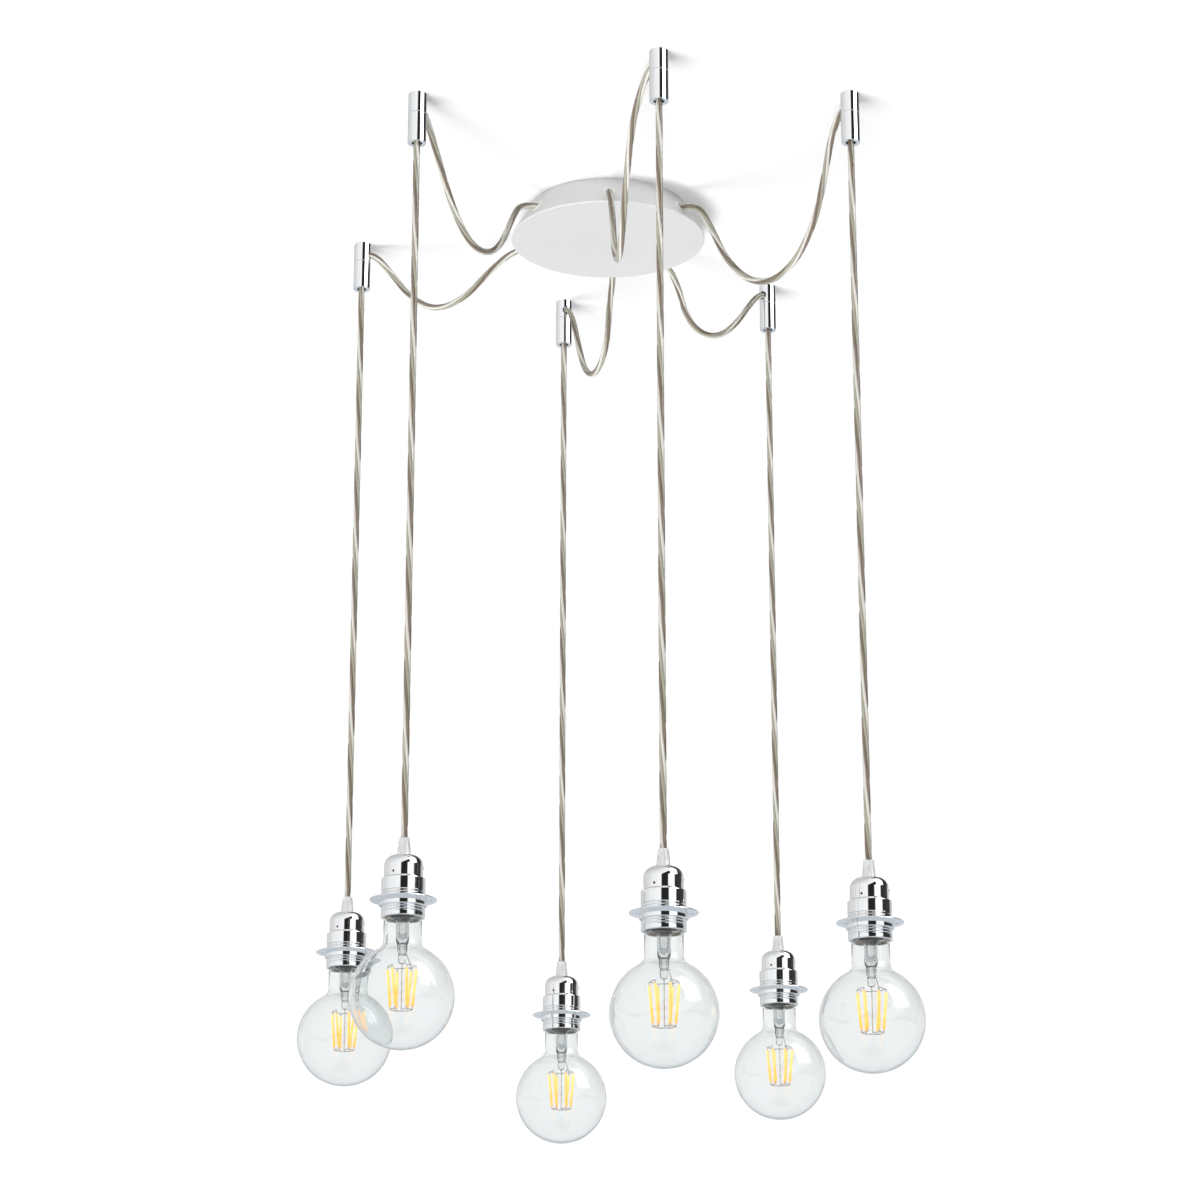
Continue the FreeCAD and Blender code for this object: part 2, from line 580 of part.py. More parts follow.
def bulb_stem():
    """The glass mount: flare, tube, flattened pinch and the rod below it."""
    flare_r = GLASS_END_R - GLASS - TURN_CLEAR
    flare_z = CAP_FROM
    tube_z = flare_z - STEM_FLARE_H
    pinch_top = GLOBE_Z + STEM_TO
    pinch_bottom = GLOBE_Z + PINCH_TO
    stem = turned([(flare_r, flare_z + STEM_WALL), (flare_r, flare_z), (STEM_R, tube_z), (STEM_R, pinch_top),
                   (0, pinch_top), (0, pinch_top + STEM_WALL), (STEM_R - STEM_WALL, pinch_top + STEM_WALL),
                   (STEM_R - STEM_WALL, tube_z), (flare_r - STEM_WALL, flare_z + STEM_WALL)])
    pinch = Part.makeBox(PINCH_W, PINCH_T, pinch_top - pinch_bottom,
                         V(-PINCH_W / 2, -PINCH_T / 2, pinch_bottom))
    lower = disc(ROD_R, GLOBE_Z + ROD_TO, pinch_bottom)
    return stem.fuse([pinch, lower]).removeSplitter()


def cage_points(radius, height, twist):
    """The ends of the filament sticks, one for each stick, at one level."""
    turns = [CAGE_TURN + twist + k * 360.0 / STICKS for k in range(STICKS)]
    return [heading(turn) * radius + at_height(GLOBE_Z + height) for turn in turns]


def wire_ring(ends, sticks):
    """Bare wire from end to end of the ring, left open at one place, with a tail to each stick."""
    tails = [rod(end, stick, WIRE_R) for end, stick in zip(ends, sticks)]
    runs = [rod(a, b, WIRE_R) for a, b in zip(ends, ends[1:])]
    knots = [Part.makeSphere(WIRE_R, end) for end in ends]
    return tails[0].fuse(tails[1:] + runs + knots)


def filament_cage():
    """Six filament sticks leaning in a ring, the bare wire at both ends and two lead wires."""
    tops = cage_points(CAGE_TOP_R, STICK_TOP, 0)
    feet = cage_points(CAGE_BOTTOM_R, STICK_BOTTOM, CAGE_TWIST)
    sticks = [rod(foot, top, STICK_R) for foot, top in zip(feet, tops)]
    high = cage_points(CAGE_TOP_R, STICK_TOP + WIRE_RISE, 0)
    low = cage_points(CAGE_BOTTOM_R, STICK_BOTTOM - WIRE_RISE, CAGE_TWIST)
    mast_foot = at_height(low[0].z)
    mast = rod(mast_foot, at_height(GLOBE_Z + ROD_TO), WIRE_R)
    spoke = rod(mast_foot, low[0], WIRE_R)
    lead = rod(high[STICKS // 3], V(PINCH_W / 2 - WIRE_R, 0, GLOBE_Z + PINCH_TO), WIRE_R)
    crown = wire_ring(high, tops).fuse(lead)
    foot_ring = wire_ring(low, feet).fuse([mast, spoke])
    return sticks + [crown, foot_ring]


# ---- the hanging cable ---------------------------------------------------------------------------
def drop_cable(lip):
    """The straight cable from the hook's mouth into the lampholder, round at the top where it flexes."""
    hanging = disc(CABLE_R, lip + CABLE_END, SWING_Z)
    return hanging.fuse(Part.makeSphere(CABLE_R, at_height(SWING_Z))).removeSplitter()


def main():
    """Builds and writes every sub-part."""
    os.makedirs("parts", exist_ok=True)
    screws = [side_screw(azimuth) for azimuth in SIDE_SCREW_AZIMUTHS]
    export("canopy_cover", [canopy_cover(screws)])
    export("canopy_bracket", [canopy_bracket(screws)] + screws)
    export("terminal_block", terminal_block())
    export("cable_bushings", cable_bushings())
    export("hook_bases", [hook_base(n) for n in HOOKS])
    export("hook_sleeves", [hook_sleeve(n) for n in HOOKS])
    for n in HOOKS:
        export("swag_cord_%d" % n, [cable(n)])
    pendant = {"cord_grip": cord_grip(), "holder_cap": holder_cap(), "holder_body": [holder_body()],
               "holder_core": holder_core(), "shade_ring": [shade_ring()], "bulb_globe": bulb_globe(),
               "bulb_base": bulb_cap() + [bulb_stem()] + filament_cage()}
    for n, (x, y) in HOOKS.items():
        lip = GLOBE_BELOW_LIP - DROPS[n]
        export("drop_cord_%d" % n, [drop_cable(lip).translated(V(x, y, 0))])
        for piece, solids in pendant.items():
            export("%s_%d" % (piece, n), [solid.translated(V(x, y, lip)) for solid in solids])


main()
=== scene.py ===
import math

import bmesh
import bpy
from mathutils import Matrix, Vector


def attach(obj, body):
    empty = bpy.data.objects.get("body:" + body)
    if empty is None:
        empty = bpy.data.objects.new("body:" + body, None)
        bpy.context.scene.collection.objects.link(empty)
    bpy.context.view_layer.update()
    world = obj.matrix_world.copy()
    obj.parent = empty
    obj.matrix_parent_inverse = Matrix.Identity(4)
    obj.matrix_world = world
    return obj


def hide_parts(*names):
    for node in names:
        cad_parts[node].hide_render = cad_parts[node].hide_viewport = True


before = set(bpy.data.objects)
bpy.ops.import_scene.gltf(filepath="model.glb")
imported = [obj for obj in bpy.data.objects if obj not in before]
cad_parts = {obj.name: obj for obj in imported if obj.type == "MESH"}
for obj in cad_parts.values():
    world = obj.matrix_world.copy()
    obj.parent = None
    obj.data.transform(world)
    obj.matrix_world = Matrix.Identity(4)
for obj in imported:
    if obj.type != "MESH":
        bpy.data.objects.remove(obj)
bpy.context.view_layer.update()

bl_info = {
    "name": "Cluster Pendant",
    "version": (1, 0, 0),
    "blender": (4, 5, 0),
    "location": "View3D > Sidebar > Cluster Pendant",
    "description": "Dresses a ceiling pendant: one canopy, six swagged cables, six bare filament bulbs",
    "category": "Object",
}

MM = 0.001

# ---- sizes shared with the part's source, in millimetres -----------------------------------------
PENDANTS = (1, 2, 3, 4, 5, 6)
HOOKS = {1: (-265.0, 96.0), 2: (-188.0, -276.0), 3: (-47.0, 259.0),
         4: (44.0, -371.0), 5: (181.0, 212.0), 6: (232.0, -281.0)}
DROPS = {1: 863.0, 2: 883.0, 3: 900.0, 4: 913.0, 5: 881.0, 6: 904.0}
OUTLET_AZIMUTHS = {1: -120.0, 2: -52.0, 3: 176.0, 4: 0.0, 5: 145.0, 6: 52.0}
OUTLET_Z = -21.0
OUTLET_BEND_R = 114.0
WALL_R = 94.0                # the canopy's wall at the outlets' height
JACKET_END = 78.0
HELD_END_Z = -43.45          # the held stretch ends here, above the swing point
SIDE_HOLE_Z = -12.5
SWING_Z = -47.0
DROP_TOP_Z = SWING_Z + 2.5   # the hanging stretch starts here, inside the hook
HOOK_MOUTH_Z = -52.0
CABLE_END = 47.0             # above the lip: the jacket ends inside the dome
# distance from the hook towards the outlet, height, and how far the cable bows to the left
SWAGS = {
    1: [(13, -12.5), (31, -33), (54, -66), (84, -84), (116, -72), (144, -42)],
    2: [(13, -12.5), (31, -31), (55, -65), (86, -98), (121, -114), (158, -107), (186, -83), (204, -52)],
    3: [(13, -12.5), (30, -33), (47, -71), (64, -103), (89, -121), (118, -117), (136, -92), (141, -57)],
    4: [(11, -12.5, 6), (28, -25, 11), (57, -45, 14), (91, -66, 12), (125, -94, 9), (156, -117, 6),
        (187, -132, 3), (215, -125, 1), (235, -98, 0), (243, -60, 0)],
    5: [(13, -12.5), (30, -29), (54, -60), (84, -84), (115, -88), (138, -72), (146, -48)],
    6: [(13, -12.5), (29, -31), (40, -67), (56, -111), (87, -144), (127, -154), (168, -138),
        (204, -102), (229, -57)],
}
# measured lengths of the cables' centrelines, in metres
SWAG_LENGTHS = {1: 0.281, 2: 0.369, 3: 0.334, 4: 0.424, 5: 0.286, 6: 0.451}
# radians by which each next cable's cores start turned on, so that no two cables look alike
SWAG_TURN = 1.3
DROP_TURN = 0.9

# heights above the lampholder's lip
GLOBE_DEPTH = 71.0
GLOBE_R = 47.5
GLASS = 0.8
NECK_R = 17.2
NECK_FILLET = 10.0
GLASS_END_R = 11.6
GLASS_TOP = 7.0
SHOULDER_TOP = 2.5
CAP_FROM = 3.0
SHELL_R = 13.45              # bore of the brass screw shell
SHELL_OUT_R = 13.95
SHELL_LIP_R = 15.4
SHELL_FOOT = 4.0
INSULATOR_R = 18.4
INSULATOR_STEP_R = 16.2
INSULATOR_FOOT = 6.0
INSULATOR_FLOOR = 29.0
INSULATOR_STEP = 33.0
INSULATOR_TOP = 35.5
TERMINAL_X = 8.0
TERMINAL_R = 2.6
TERMINAL_H = 4.0
CORE_R = 0.85
CAP_R = 13.05
CAP_THREAD = 0.8
CAP_PITCH = 3.63
CAP_TURNS = 4
CAP_TOP = 22.0
CAP_WALL = 0.8
SEAT_R = 8.0                 # the black seat under the centre contact
CONTACT_R = 4.6
CONTACT_T = 1.2
CONTACT_TOP = 27.0
# heights above the globe's centre
STEM_R = 6.0
STEM_WALL = 1.0
STEM_TO = 50.0
PINCH_TO = 38.5
PINCH_W = 9.0
PINCH_T = 3.4
ROD_R = 3.2
ROD_TO = 29.5
STICKS = 6
STICK_R = 1.3
STICK_TOP = 24.5
STICK_BOTTOM = -8.5
CAGE_TOP_R = 13.0
CAGE_BOTTOM_R = 10.0
CAGE_TWIST = 8.0
CAGE_TURN = 22.0
WIRE_R = 0.45
LEAD_R = 0.3                 # the thinner leads that run through the pinch
WIRE_RISE = 3.0


# ---- helpers -------------------------------------------------------------------------------------
def linear(code):
    """An sRGB hex colour as linear red, green, blue and alpha."""
    parts = [int(code[i:i + 2], 16) / 255 for i in (1, 3, 5)]
    return tuple(c / 12.92 if c <= 0.04045 else ((c + 0.055) / 1.055) ** 2.4 for c in parts) + (1.0,)


def add_node(tree, kind, inputs=None, **settings):
    """Adds a node to a tree with its settings; inputs holds values or other nodes' outputs."""
    node = tree.nodes.new(kind)
    for name, value in settings.items():
        setattr(node, name, value)
    for name, value in (inputs or {}).items():
        if isinstance(value, bpy.types.NodeSocket):
            tree.links.new(value, node.inputs[name])
        else:
            node.inputs[name].default_value = value
    return node


def new_material(name, surface, volume=None):
    """An empty material; surface(tree) and volume(tree) return the nodes for its outputs."""
    material = bpy.data.materials.get(name)
    if material:
        return material
    material = bpy.data.materials.new(name)
    material.use_nodes = True
    tree = material.node_tree
    tree.nodes.clear()
    links = {"Surface": surface(tree).outputs[0]}
    if volume:
        links["Volume"] = volume(tree).outputs[0]
    add_node(tree, "ShaderNodeOutputMaterial", links)
    return material


def noise(tree, size_mm, detail=2.0, roughness=0.5, stretch=(1, 1, 1)):
    """Noise on Object coordinates whose lumps measure about size_mm; stretch scales the axes."""
    coords = add_node(tree, "ShaderNodeTexCoord").outputs["Object"]
    mapped = add_node(tree, "ShaderNodeMapping", {"Vector": coords, "Scale": stretch})
    return add_node(tree, "ShaderNodeTexNoise", {
        "Vector": mapped.outputs[0], "Scale": 1 / (size_mm * MM), "Detail": detail,
        "Roughness": roughness}).outputs["Fac"]


def spread(tree, value, low, high):
    """Turns a 0..1 pattern into one between low and high."""
    return add_node(tree, "ShaderNodeMapRange", {
        "Value": value, "From Min": 0.3, "From Max": 0.7, "To Min": low, "To Max": high}).outputs[0]


def blend_colours(tree, factor, first, second):
    """A colour between two hex colours."""
    mixed = add_node(tree, "ShaderNodeMix", data_type="RGBA")
    for socket, value in zip([s for s in mixed.inputs if s.type == "RGBA"], (first, second)):
        socket.default_value = linear(value) if isinstance(value, str) else value
    tree.links.new(factor, mixed.inputs[0])
    return [s for s in mixed.outputs if s.type == "RGBA"][0]


def bump(tree, height, depth_mm, strength=1.0):
    """A bump whose full height is depth_mm."""
    return add_node(tree, "ShaderNodeBump", {
        "Height": height, "Distance": depth_mm * MM, "Strength": strength}).outputs[0]


# ---- materials -----------------------------------------------------------------------------------
def powder_coated_steel():
    """White powder coat: even and half-matt, with the faint orange peel of baked powder."""
    def surface(tree):
        peel = noise(tree, 1.6)
        paint = bpy.context.scene.canopy_settings.paint
        shade = blend_colours(tree, spread(tree, noise(tree, 60), 0.0, 1.0),
                              tuple(paint) + (1.0,), tuple(c * 0.97 for c in paint) + (1.0,))
        return add_node(tree, "ShaderNodeBsdfPrincipled", {
            "Base Color": shade, "Roughness": spread(tree, peel, 0.42, 0.52),
            "Normal": bump(tree, peel, 0.02)})
    return new_material("powder_coated_steel", surface)


def chromed_steel():
    """Bright chrome over polished steel: a mirror with a slightly cool tint and hazy polishing lines."""
    def surface(tree):
        haze = noise(tree, 3.0, stretch=(1, 1, 0.25))
        return add_node(tree, "ShaderNodeBsdfPrincipled", {
            "Base Color": blend_colours(tree, haze, "#F6F7F8", "#EDEFF1"), "Metallic": 1.0,
            "Roughness": spread(tree, haze, 0.035, 0.07)})
    return new_material("chromed_steel", surface)


def zinc_plated_steel():
    """Zinc plating on pressed strip: grey, satin, with the cloudy spangle of the bath."""
    def surface(tree):
        cloud = noise(tree, 6.0, detail=4.0)
        return add_node(tree, "ShaderNodeBsdfPrincipled", {
            "Base Color": blend_colours(tree, cloud, "#B9BDC0", "#D6D9DA"), "Metallic": 1.0,
            "Roughness": spread(tree, cloud, 0.3, 0.45)})
    return new_material("zinc_plated_steel", surface)


def moulded_polyamide():
    """White moulded polyamide: waxy, lets a little light in, faint spark-erosion grain."""
    def surface(tree):
        grain = noise(tree, 0.5)
        return add_node(tree, "ShaderNodeBsdfPrincipled", {
            "Base Color": blend_colours(tree, grain, "#F4F4F1", "#EDEDEA"),
            "Roughness": spread(tree, grain, 0.35, 0.45), "Subsurface Weight": 0.1,
            "Subsurface Radius": (0.001, 0.001, 0.001), "Normal": bump(tree, grain, 0.01)})
    return new_material("moulded_polyamide", surface)


def pressed_steatite():
    """Pressed steatite: off-white, dense and dull, with the fine speckle of the fired powder."""
    def surface(tree):
        speckle = noise(tree, 0.7, detail=3.0)
        return add_node(tree, "ShaderNodeBsdfPrincipled", {
            "Base Color": blend_colours(tree, speckle, "#E4E1D8", "#D8D4C9"),
            "Roughness": spread(tree, speckle, 0.5, 0.65), "Normal": bump(tree, speckle, 0.02)})
    return new_material("pressed_steatite", surface)


def moulded_phenolic():
    """Black moulded phenolic: dense and half-gloss with a fine filler mottle."""
    def surface(tree):
        grain = noise(tree, 0.8, detail=3.0)
        return add_node(tree, "ShaderNodeBsdfPrincipled", {
            "Base Color": blend_colours(tree, grain, "#1B1A18", "#2A2826"),
            "Roughness": spread(tree, grain, 0.3, 0.42), "Normal": bump(tree, grain, 0.01)})
    return new_material("moulded_phenolic", surface)


def rolled_brass():
    """Rolled brass strip: warm yellow, drawn bright, with fine drawing lines round the shell."""
    def surface(tree):
        lines = noise(tree, 1.2, stretch=(0.2, 0.2, 3.0))
        return add_node(tree, "ShaderNodeBsdfPrincipled", {
            "Base Color": blend_colours(tree, lines, "#D2A93E", "#B08A2C"), "Metallic": 1.0,
            "Roughness": spread(tree, lines, 0.3, 0.42)})
    return new_material("rolled_brass", surface)


def clear_polycarbonate():
    """Clear moulded polycarbonate: glassy with a milky core where it is thick."""
    def surface(tree):
        flow = noise(tree, 4.0)
        return add_node(tree, "ShaderNodeBsdfPrincipled", {
            "Base Color": blend_colours(tree, flow, "#FEFEFE", "#F9FAFA"),
            "Roughness": spread(tree, flow, 0.2, 0.3), "IOR": 1.58, "Transmission Weight": 0.15})
    return new_material("clear_polycarbonate", surface)


def clear_pvc_jacket():
    """Extruded clear PVC: smooth and glossy, a touch warm, so the cores show through it enlarged."""
    def surface(tree):
        flow = noise(tree, 5.0)
        tint = tuple(bpy.context.scene.cable_settings.jacket) + (1.0,)
        return add_node(tree, "ShaderNodeBsdfPrincipled", {
            "Base Color": blend_colours(tree, flow, tint, tuple(c * 0.97 for c in tint)),
            "Roughness": spread(tree, flow, 0.06, 0.14), "IOR": 1.45, "Transmission Weight": 1.0})
    return new_material("clear_pvc_jacket", surface)


def core_insulation(number):
    """Thin insulation over stranded wire: satin, with the strands' lay as soft lighter streaks."""
    def surface(tree):
        colour = tuple(getattr(bpy.context.scene.cable_settings, "core_%d" % number)) + (1.0,)
        lay = noise(tree, 2.2, stretch=(1, 1, 0.3))
        return add_node(tree, "ShaderNodeBsdfPrincipled", {
            "Base Color": blend_colours(tree, lay, tuple(c * 0.86 for c in colour[:3]) + (1.0,), colour),
            "Roughness": spread(tree, lay, 0.4, 0.55)})
    return new_material("core_insulation_%d" % number, surface)


def blown_glass():
    """Blown soda-lime glass: clear, with a grey body that shows only along the edges."""
    def surface(tree):
        ripple = noise(tree, 30.0)
        return add_node(tree, "ShaderNodeBsdfPrincipled", {
            "Base Color": blend_colours(tree, ripple, "#FDFEFE", "#FAFCFB"),
            "Roughness": 0.0, "IOR": 1.5, "Transmission Weight": 1.0,
            "Normal": bump(tree, ripple, 0.05)})

    def volume(tree):
        return add_node(tree, "ShaderNodeVolumeAbsorption", {
            "Color": tuple(bpy.context.scene.bulb_settings.glass_tint) + (1.0,), "Density": 185.0})
    return new_material("blown_glass", surface, volume)


def lead_glass():
    """Pressed lead glass of the mount: clear and heavy, wavy where it was squeezed."""
    def surface(tree):
        wave = noise(tree, 3.0)
        return add_node(tree, "ShaderNodeBsdfPrincipled", {
            "Base Color": blend_colours(tree, wave, "#F7F8F7", "#EFF1F0"),
            "Roughness": 0.02, "IOR": 1.54, "Transmission Weight": 1.0,
            "Normal": bump(tree, wave, 0.15)})
    return new_material("lead_glass", surface)


def drawn_nickel_wire():
    """Drawn nickel wire: grey, dull bright, slightly darkened by the welding."""
    def surface(tree):
        heat = noise(tree, 2.5, detail=3.0)
        return add_node(tree, "ShaderNodeBsdfPrincipled", {
            "Base Color": blend_colours(tree, heat, "#B4B2AE", "#D9D7D3"), "Metallic": 1.0,
            "Roughness": spread(tree, heat, 0.2, 0.35)})
    return new_material("drawn_nickel_wire", surface)


def phosphor_coated_strip():
    """Phosphor silicone over a lit strip: glows orange at its foot and yellow towards its top, each
    stick to its own degree.
    """
    def surface(tree):
        settings = bpy.context.scene.bulb_settings
        along = add_node(tree, "ShaderNodeAttribute", attribute_name="along").outputs["Fac"]
        stick = add_node(tree, "ShaderNodeAttribute", attribute_name="stick").outputs["Fac"]
        mixed = add_node(tree, "ShaderNodeMath", {0: along, 1: stick}, operation="MULTIPLY").outputs[0]
        colour = blend_colours(tree, mixed, tuple(settings.glow_low) + (1.0,),
                               tuple(settings.glow_high) + (1.0,))
        return add_node(tree, "ShaderNodeBsdfPrincipled", {
            "Base Color": colour, "Roughness": 0.5, "Emission Color": colour,
            "Emission Strength": settings.glow_strength})
    return new_material("phosphor_coated_strip", surface)


# ---- meshes --------------------------------------------------------------------------------------
def start_outline(point):
    """A mesh that holds the first point of an outline; points are (radius, height) in millimetres."""
    mesh = bmesh.new()
    mesh.verts.new((point[0] * MM, 0, point[1] * MM))
    mesh.verts.ensure_lookup_table()
    return mesh, mesh.verts[0]


def line_to(mesh, vert, point):
    """Draws a straight run of the outline and returns its end."""
    end = mesh.verts.new((point[0] * MM, 0, point[1] * MM))
    mesh.edges.new((vert, end))
    return end


def arc_to(mesh, vert, centre, degrees, steps):
    """Draws an arc of the outline about a centre; positive turns from upwards to outwards."""
    made = bmesh.ops.spin(mesh, geom=[vert], cent=(centre[0] * MM, 0, centre[1] * MM), axis=(0, 1, 0),
                          dvec=(0, 0, 0), angle=math.radians(degrees), steps=steps,
                          use_merge=False, use_normal_flip=False, use_duplicate=False)
    return [item for item in made["geom_last"] if isinstance(item, bmesh.types.BMVert)][0]


def turn(mesh, steps=96):
    """Turns the outline about Z into a closed skin that faces outwards."""
    bmesh.ops.spin(mesh, geom=mesh.verts[:] + mesh.edges[:], cent=(0, 0, 0), axis=(0, 0, 1),
                   dvec=(0, 0, 0), angle=2 * math.pi, steps=steps,
                   use_merge=True, use_normal_flip=False, use_duplicate=False)
    bmesh.ops.remove_doubles(mesh, verts=mesh.verts[:], dist=1e-7)
    bmesh.ops.dissolve_degenerate(mesh, dist=1e-8, edges=mesh.edges[:])
    bmesh.ops.recalc_face_normals(mesh, faces=mesh.faces[:])
    return mesh


def turned(points, steps=96):
    """The closed outline of (radius, height) points turned about Z."""
    mesh, first = start_outline(points[0])
    last = first
    for point in points[1:]:
        last = line_to(mesh, last, point)
    mesh.edges.new((last, first))
    return turn(mesh, steps)


def add_rod(mesh, a, b, radius, segments=12):
    """Adds a round rod between two points in millimetres and returns its vertices."""
    a = Vector(a) * MM
    b = Vector(b) * MM
    run = b - a
    matrix = Matrix.Translation((a + b) / 2) @ run.to_track_quat("Z", "Y").to_matrix().to_4x4()
    made = bmesh.ops.create_cone(mesh, cap_ends=True, cap_tris=False, segments=segments,
                                 radius1=radius * MM, radius2=radius * MM,
                                 depth=run.length, matrix=matrix)
    return made["verts"]


def add_ball(mesh, centre, radius):
    """Adds a small ball where wires meet."""
    bmesh.ops.create_uvsphere(mesh, u_segments=12, v_segments=8, radius=radius * MM,
                              matrix=Matrix.Translation(Vector(centre) * MM))


def add_path(mesh, path, radius):
    """Adds a bent wire along a list of points, with a ball at the end of each run."""
    for a, b in zip(path, path[1:]):
        add_rod(mesh, a, b, radius)
        add_ball(mesh, b, radius)


def place(mesh, name, spot, material, body, sharp_deg=35.0):
    """Makes a piece of a mesh: moved to its spot, smooth, with its material and body."""
    bmesh.ops.translate(mesh, verts=mesh.verts[:], vec=Vector(spot) * MM)
    for face in mesh.faces:
        face.smooth = True
    for edge in mesh.edges:
        if len(edge.link_faces) == 2 and edge.calc_face_angle(0) > math.radians(sharp_deg):
            edge.smooth = False
    data = bpy.data.meshes.new(name)
    mesh.to_mesh(data)
    mesh.free()
    data.materials.append(material)
    piece = bpy.data.objects.new(name, data)
    bpy.context.scene.collection.objects.link(piece)
    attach(piece, body)
    return piece


def pendant_spot(n):
    """The place of a lampholder's lip."""
    return (HOOKS[n][0], HOOKS[n][1], GLOBE_DEPTH - DROPS[n])


def dress(node, material):
    """Gives a carried-over node its finish."""
    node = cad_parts[node]
    node.data.materials.clear()
    node.data.materials.append(material)


# ---- cables --------------------------------------------------------------------------------------
def swag_points(n):
    """A swagged cable's route in metres: out of the hook's side, along the swag, into the canopy."""
    hook = Vector((*HOOKS[n], 0))
    turn_to = math.radians(OUTLET_AZIMUTHS[n])
    out = Vector((math.sin(turn_to), -math.cos(turn_to), 0))
    corner = out * OUTLET_BEND_R
    along = (corner - hook).normalized()
    left = Vector((0, 0, 1)).cross(along)
    up = Vector((0, 0, 1))
    points = [hook + up * HELD_END_Z, hook + up * SIDE_HOLE_Z]
    for step, height, *aside in SWAGS[n]:
        points.append(hook + along * step + left * sum(aside) + up * height)
    points += [corner + up * OUTLET_Z, out * JACKET_END + up * OUTLET_Z]
    return [point * MM for point in points], (out * WALL_R + up * OUTLET_Z) * MM


def route_curve(name, points, resolution):
    """A smooth spline with the route's points as its control points."""
    data = bpy.data.curves.new(name, "CURVE")
    data.dimensions = "3D"
    data.resolution_u = resolution
    spline = data.splines.new("NURBS")
    spline.points.add(len(points) - 1)
    for knot, point in zip(spline.points, points):
        knot.co = (*point, 1.0)
    spline.order_u = 3
    spline.use_endpoint_u = True
    piece = bpy.data.objects.new(name, data)
    bpy.context.scene.collection.objects.link(piece)
    return piece


def centreline(piece):
    """The points of an unbevelled curve, in order."""
    bpy.context.view_layer.update()
    evaluated = piece.evaluated_get(bpy.context.evaluated_depsgraph_get())
    data = bpy.data.meshes.new_from_object(evaluated)
    line = [vertex.co.copy() for vertex in data.vertices]
    bpy.data.meshes.remove(data)
    return line


def core_curves(name, line, first_turn):
    """Three cores twisted round a centreline, each a spline of its own."""
    settings = bpy.context.scene.cable_settings
    data = bpy.data.curves.new(name, "CURVE")
    data.dimensions = "3D"
    data.bevel_depth = settings.core_diameter / 2
    data.bevel_resolution = 3
    data.use_fill_caps = True
    for core in (1, 2, 3):
        data.materials.append(core_insulation(core))
    offset = settings.core_diameter / math.sqrt(3)
    side = Vector((1, 0, 0))
    done = 0.0
    frames = []
    for here, point in enumerate(line):
        ahead = line[min(here + 1, len(line) - 1)] - line[max(here - 1, 0)]
        ahead.normalize()
        side = (side - ahead * side.dot(ahead)).normalized()
        frames.append((point, side.copy(), ahead.cross(side), done))
        if here + 1 < len(line):
            done += (line[here + 1] - point).length
    for core in range(3):
        spline = data.splines.new("POLY")
        spline.points.add(len(frames) - 1)
        spline.material_index = core
        spline.use_smooth = True
        for knot, (point, side, across, reach) in zip(spline.points, frames):
            angle = first_turn - 2 * math.pi * (reach / settings.twist_length + core / 3)
            knot.co = (*(point + (side * math.cos(angle) + across * math.sin(angle)) * offset), 1.0)
    piece = bpy.data.objects.new(name, data)
    bpy.context.scene.collection.objects.link(piece)
    return piece


def make_cable(name, points, resolution, body, node, first_turn, **facts):
    """A clear jacket over three twisted cores, standing in for the carried-over cord node."""
    settings = bpy.context.scene.cable_settings
    jacket = route_curve("%s_jacket" % name, points, resolution)
    line = centreline(jacket)
    jacket.data.bevel_depth = settings.diameter / 2
    jacket.data.bevel_resolution = 6
    jacket.data.use_fill_caps = True
    jacket.data.materials.append(clear_pvc_jacket())
    jacket.visible_shadow = False
    cores = core_curves("%s_cores" % name, line, first_turn)
    for piece in (jacket, cores):
        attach(piece, body)
    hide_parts(node)


class CableSettings(bpy.types.PropertyGroup):
    """Sizes and colours of the cables."""
    diameter: bpy.props.FloatProperty(
        name="Cable diameter", description="Outside diameter of the clear jacket",
        default=0.0065, min=0.003, max=0.01, unit="LENGTH")
    core_diameter: bpy.props.FloatProperty(
        name="Core diameter", description="Diameter of each insulated core",
        default=0.0022, min=0.0005, max=0.004, unit="LENGTH")
    twist_length: bpy.props.FloatProperty(
        name="Twist length", description="Length of one full turn of the cores",
        default=0.1, min=0.02, max=1.0, unit="LENGTH")
    jacket: bpy.props.FloatVectorProperty(
        name="Jacket", description="Tint of the clear jacket", subtype="COLOR", size=3,
        default=linear("#FBF9F5")[:3])
    core_1: bpy.props.FloatVectorProperty(
        name="First core", description="Colour of the light core", subtype="COLOR", size=3,
        default=linear("#F8F5EE")[:3])
    core_2: bpy.props.FloatVectorProperty(
        name="Second core", description="Colour of the dark core", subtype="COLOR", size=3,
        default=linear("#8F8070")[:3])
    core_3: bpy.props.FloatVectorProperty(
        name="Third core", description="Colour of the grey-green core", subtype="COLOR", size=3,
        default=linear("#BDBAA9")[:3])


class CLUSTER_OT_cables(bpy.types.Operator):
    """Makes the six swagged cables and the six hanging ones"""
    bl_idname = "cluster.cables"
    bl_label = "Cables"

    def execute(self, context):
        for n in PENDANTS:
            points, outlet = swag_points(n)
            make_cable("swag_cable_%d" % n, points, 16, "root", "swag_cord_%d" % n, n * SWAG_TURN,
                       exit=outlet, length=SWAG_LENGTHS[n])
            x, y, lip = pendant_spot(n)
            end = lip + CABLE_END
            heights = (DROP_TOP_Z, (DROP_TOP_Z + end) / 2, end)
            straight = [Vector((x, y, z)) * MM for z in heights]
            make_cable("drop_cable_%d" % n, straight, 100, "pendant_%d" % n, "drop_cord_%d" % n,
                       n * DROP_TURN, exit=Vector((x, y, HOOK_MOUTH_Z)) * MM,
                       length=(DROP_TOP_Z - end) * MM)
        return {"FINISHED"}


# ---- canopy and hooks ----------------------------------------------------------------------------
class CanopySettings(bpy.types.PropertyGroup):
    """Colours of the canopy."""
    paint: bpy.props.FloatVectorProperty(
        name="Paint", description="Powder coat of the canopy", subtype="COLOR", size=3,
        default=linear("#E6E6E6")[:3])


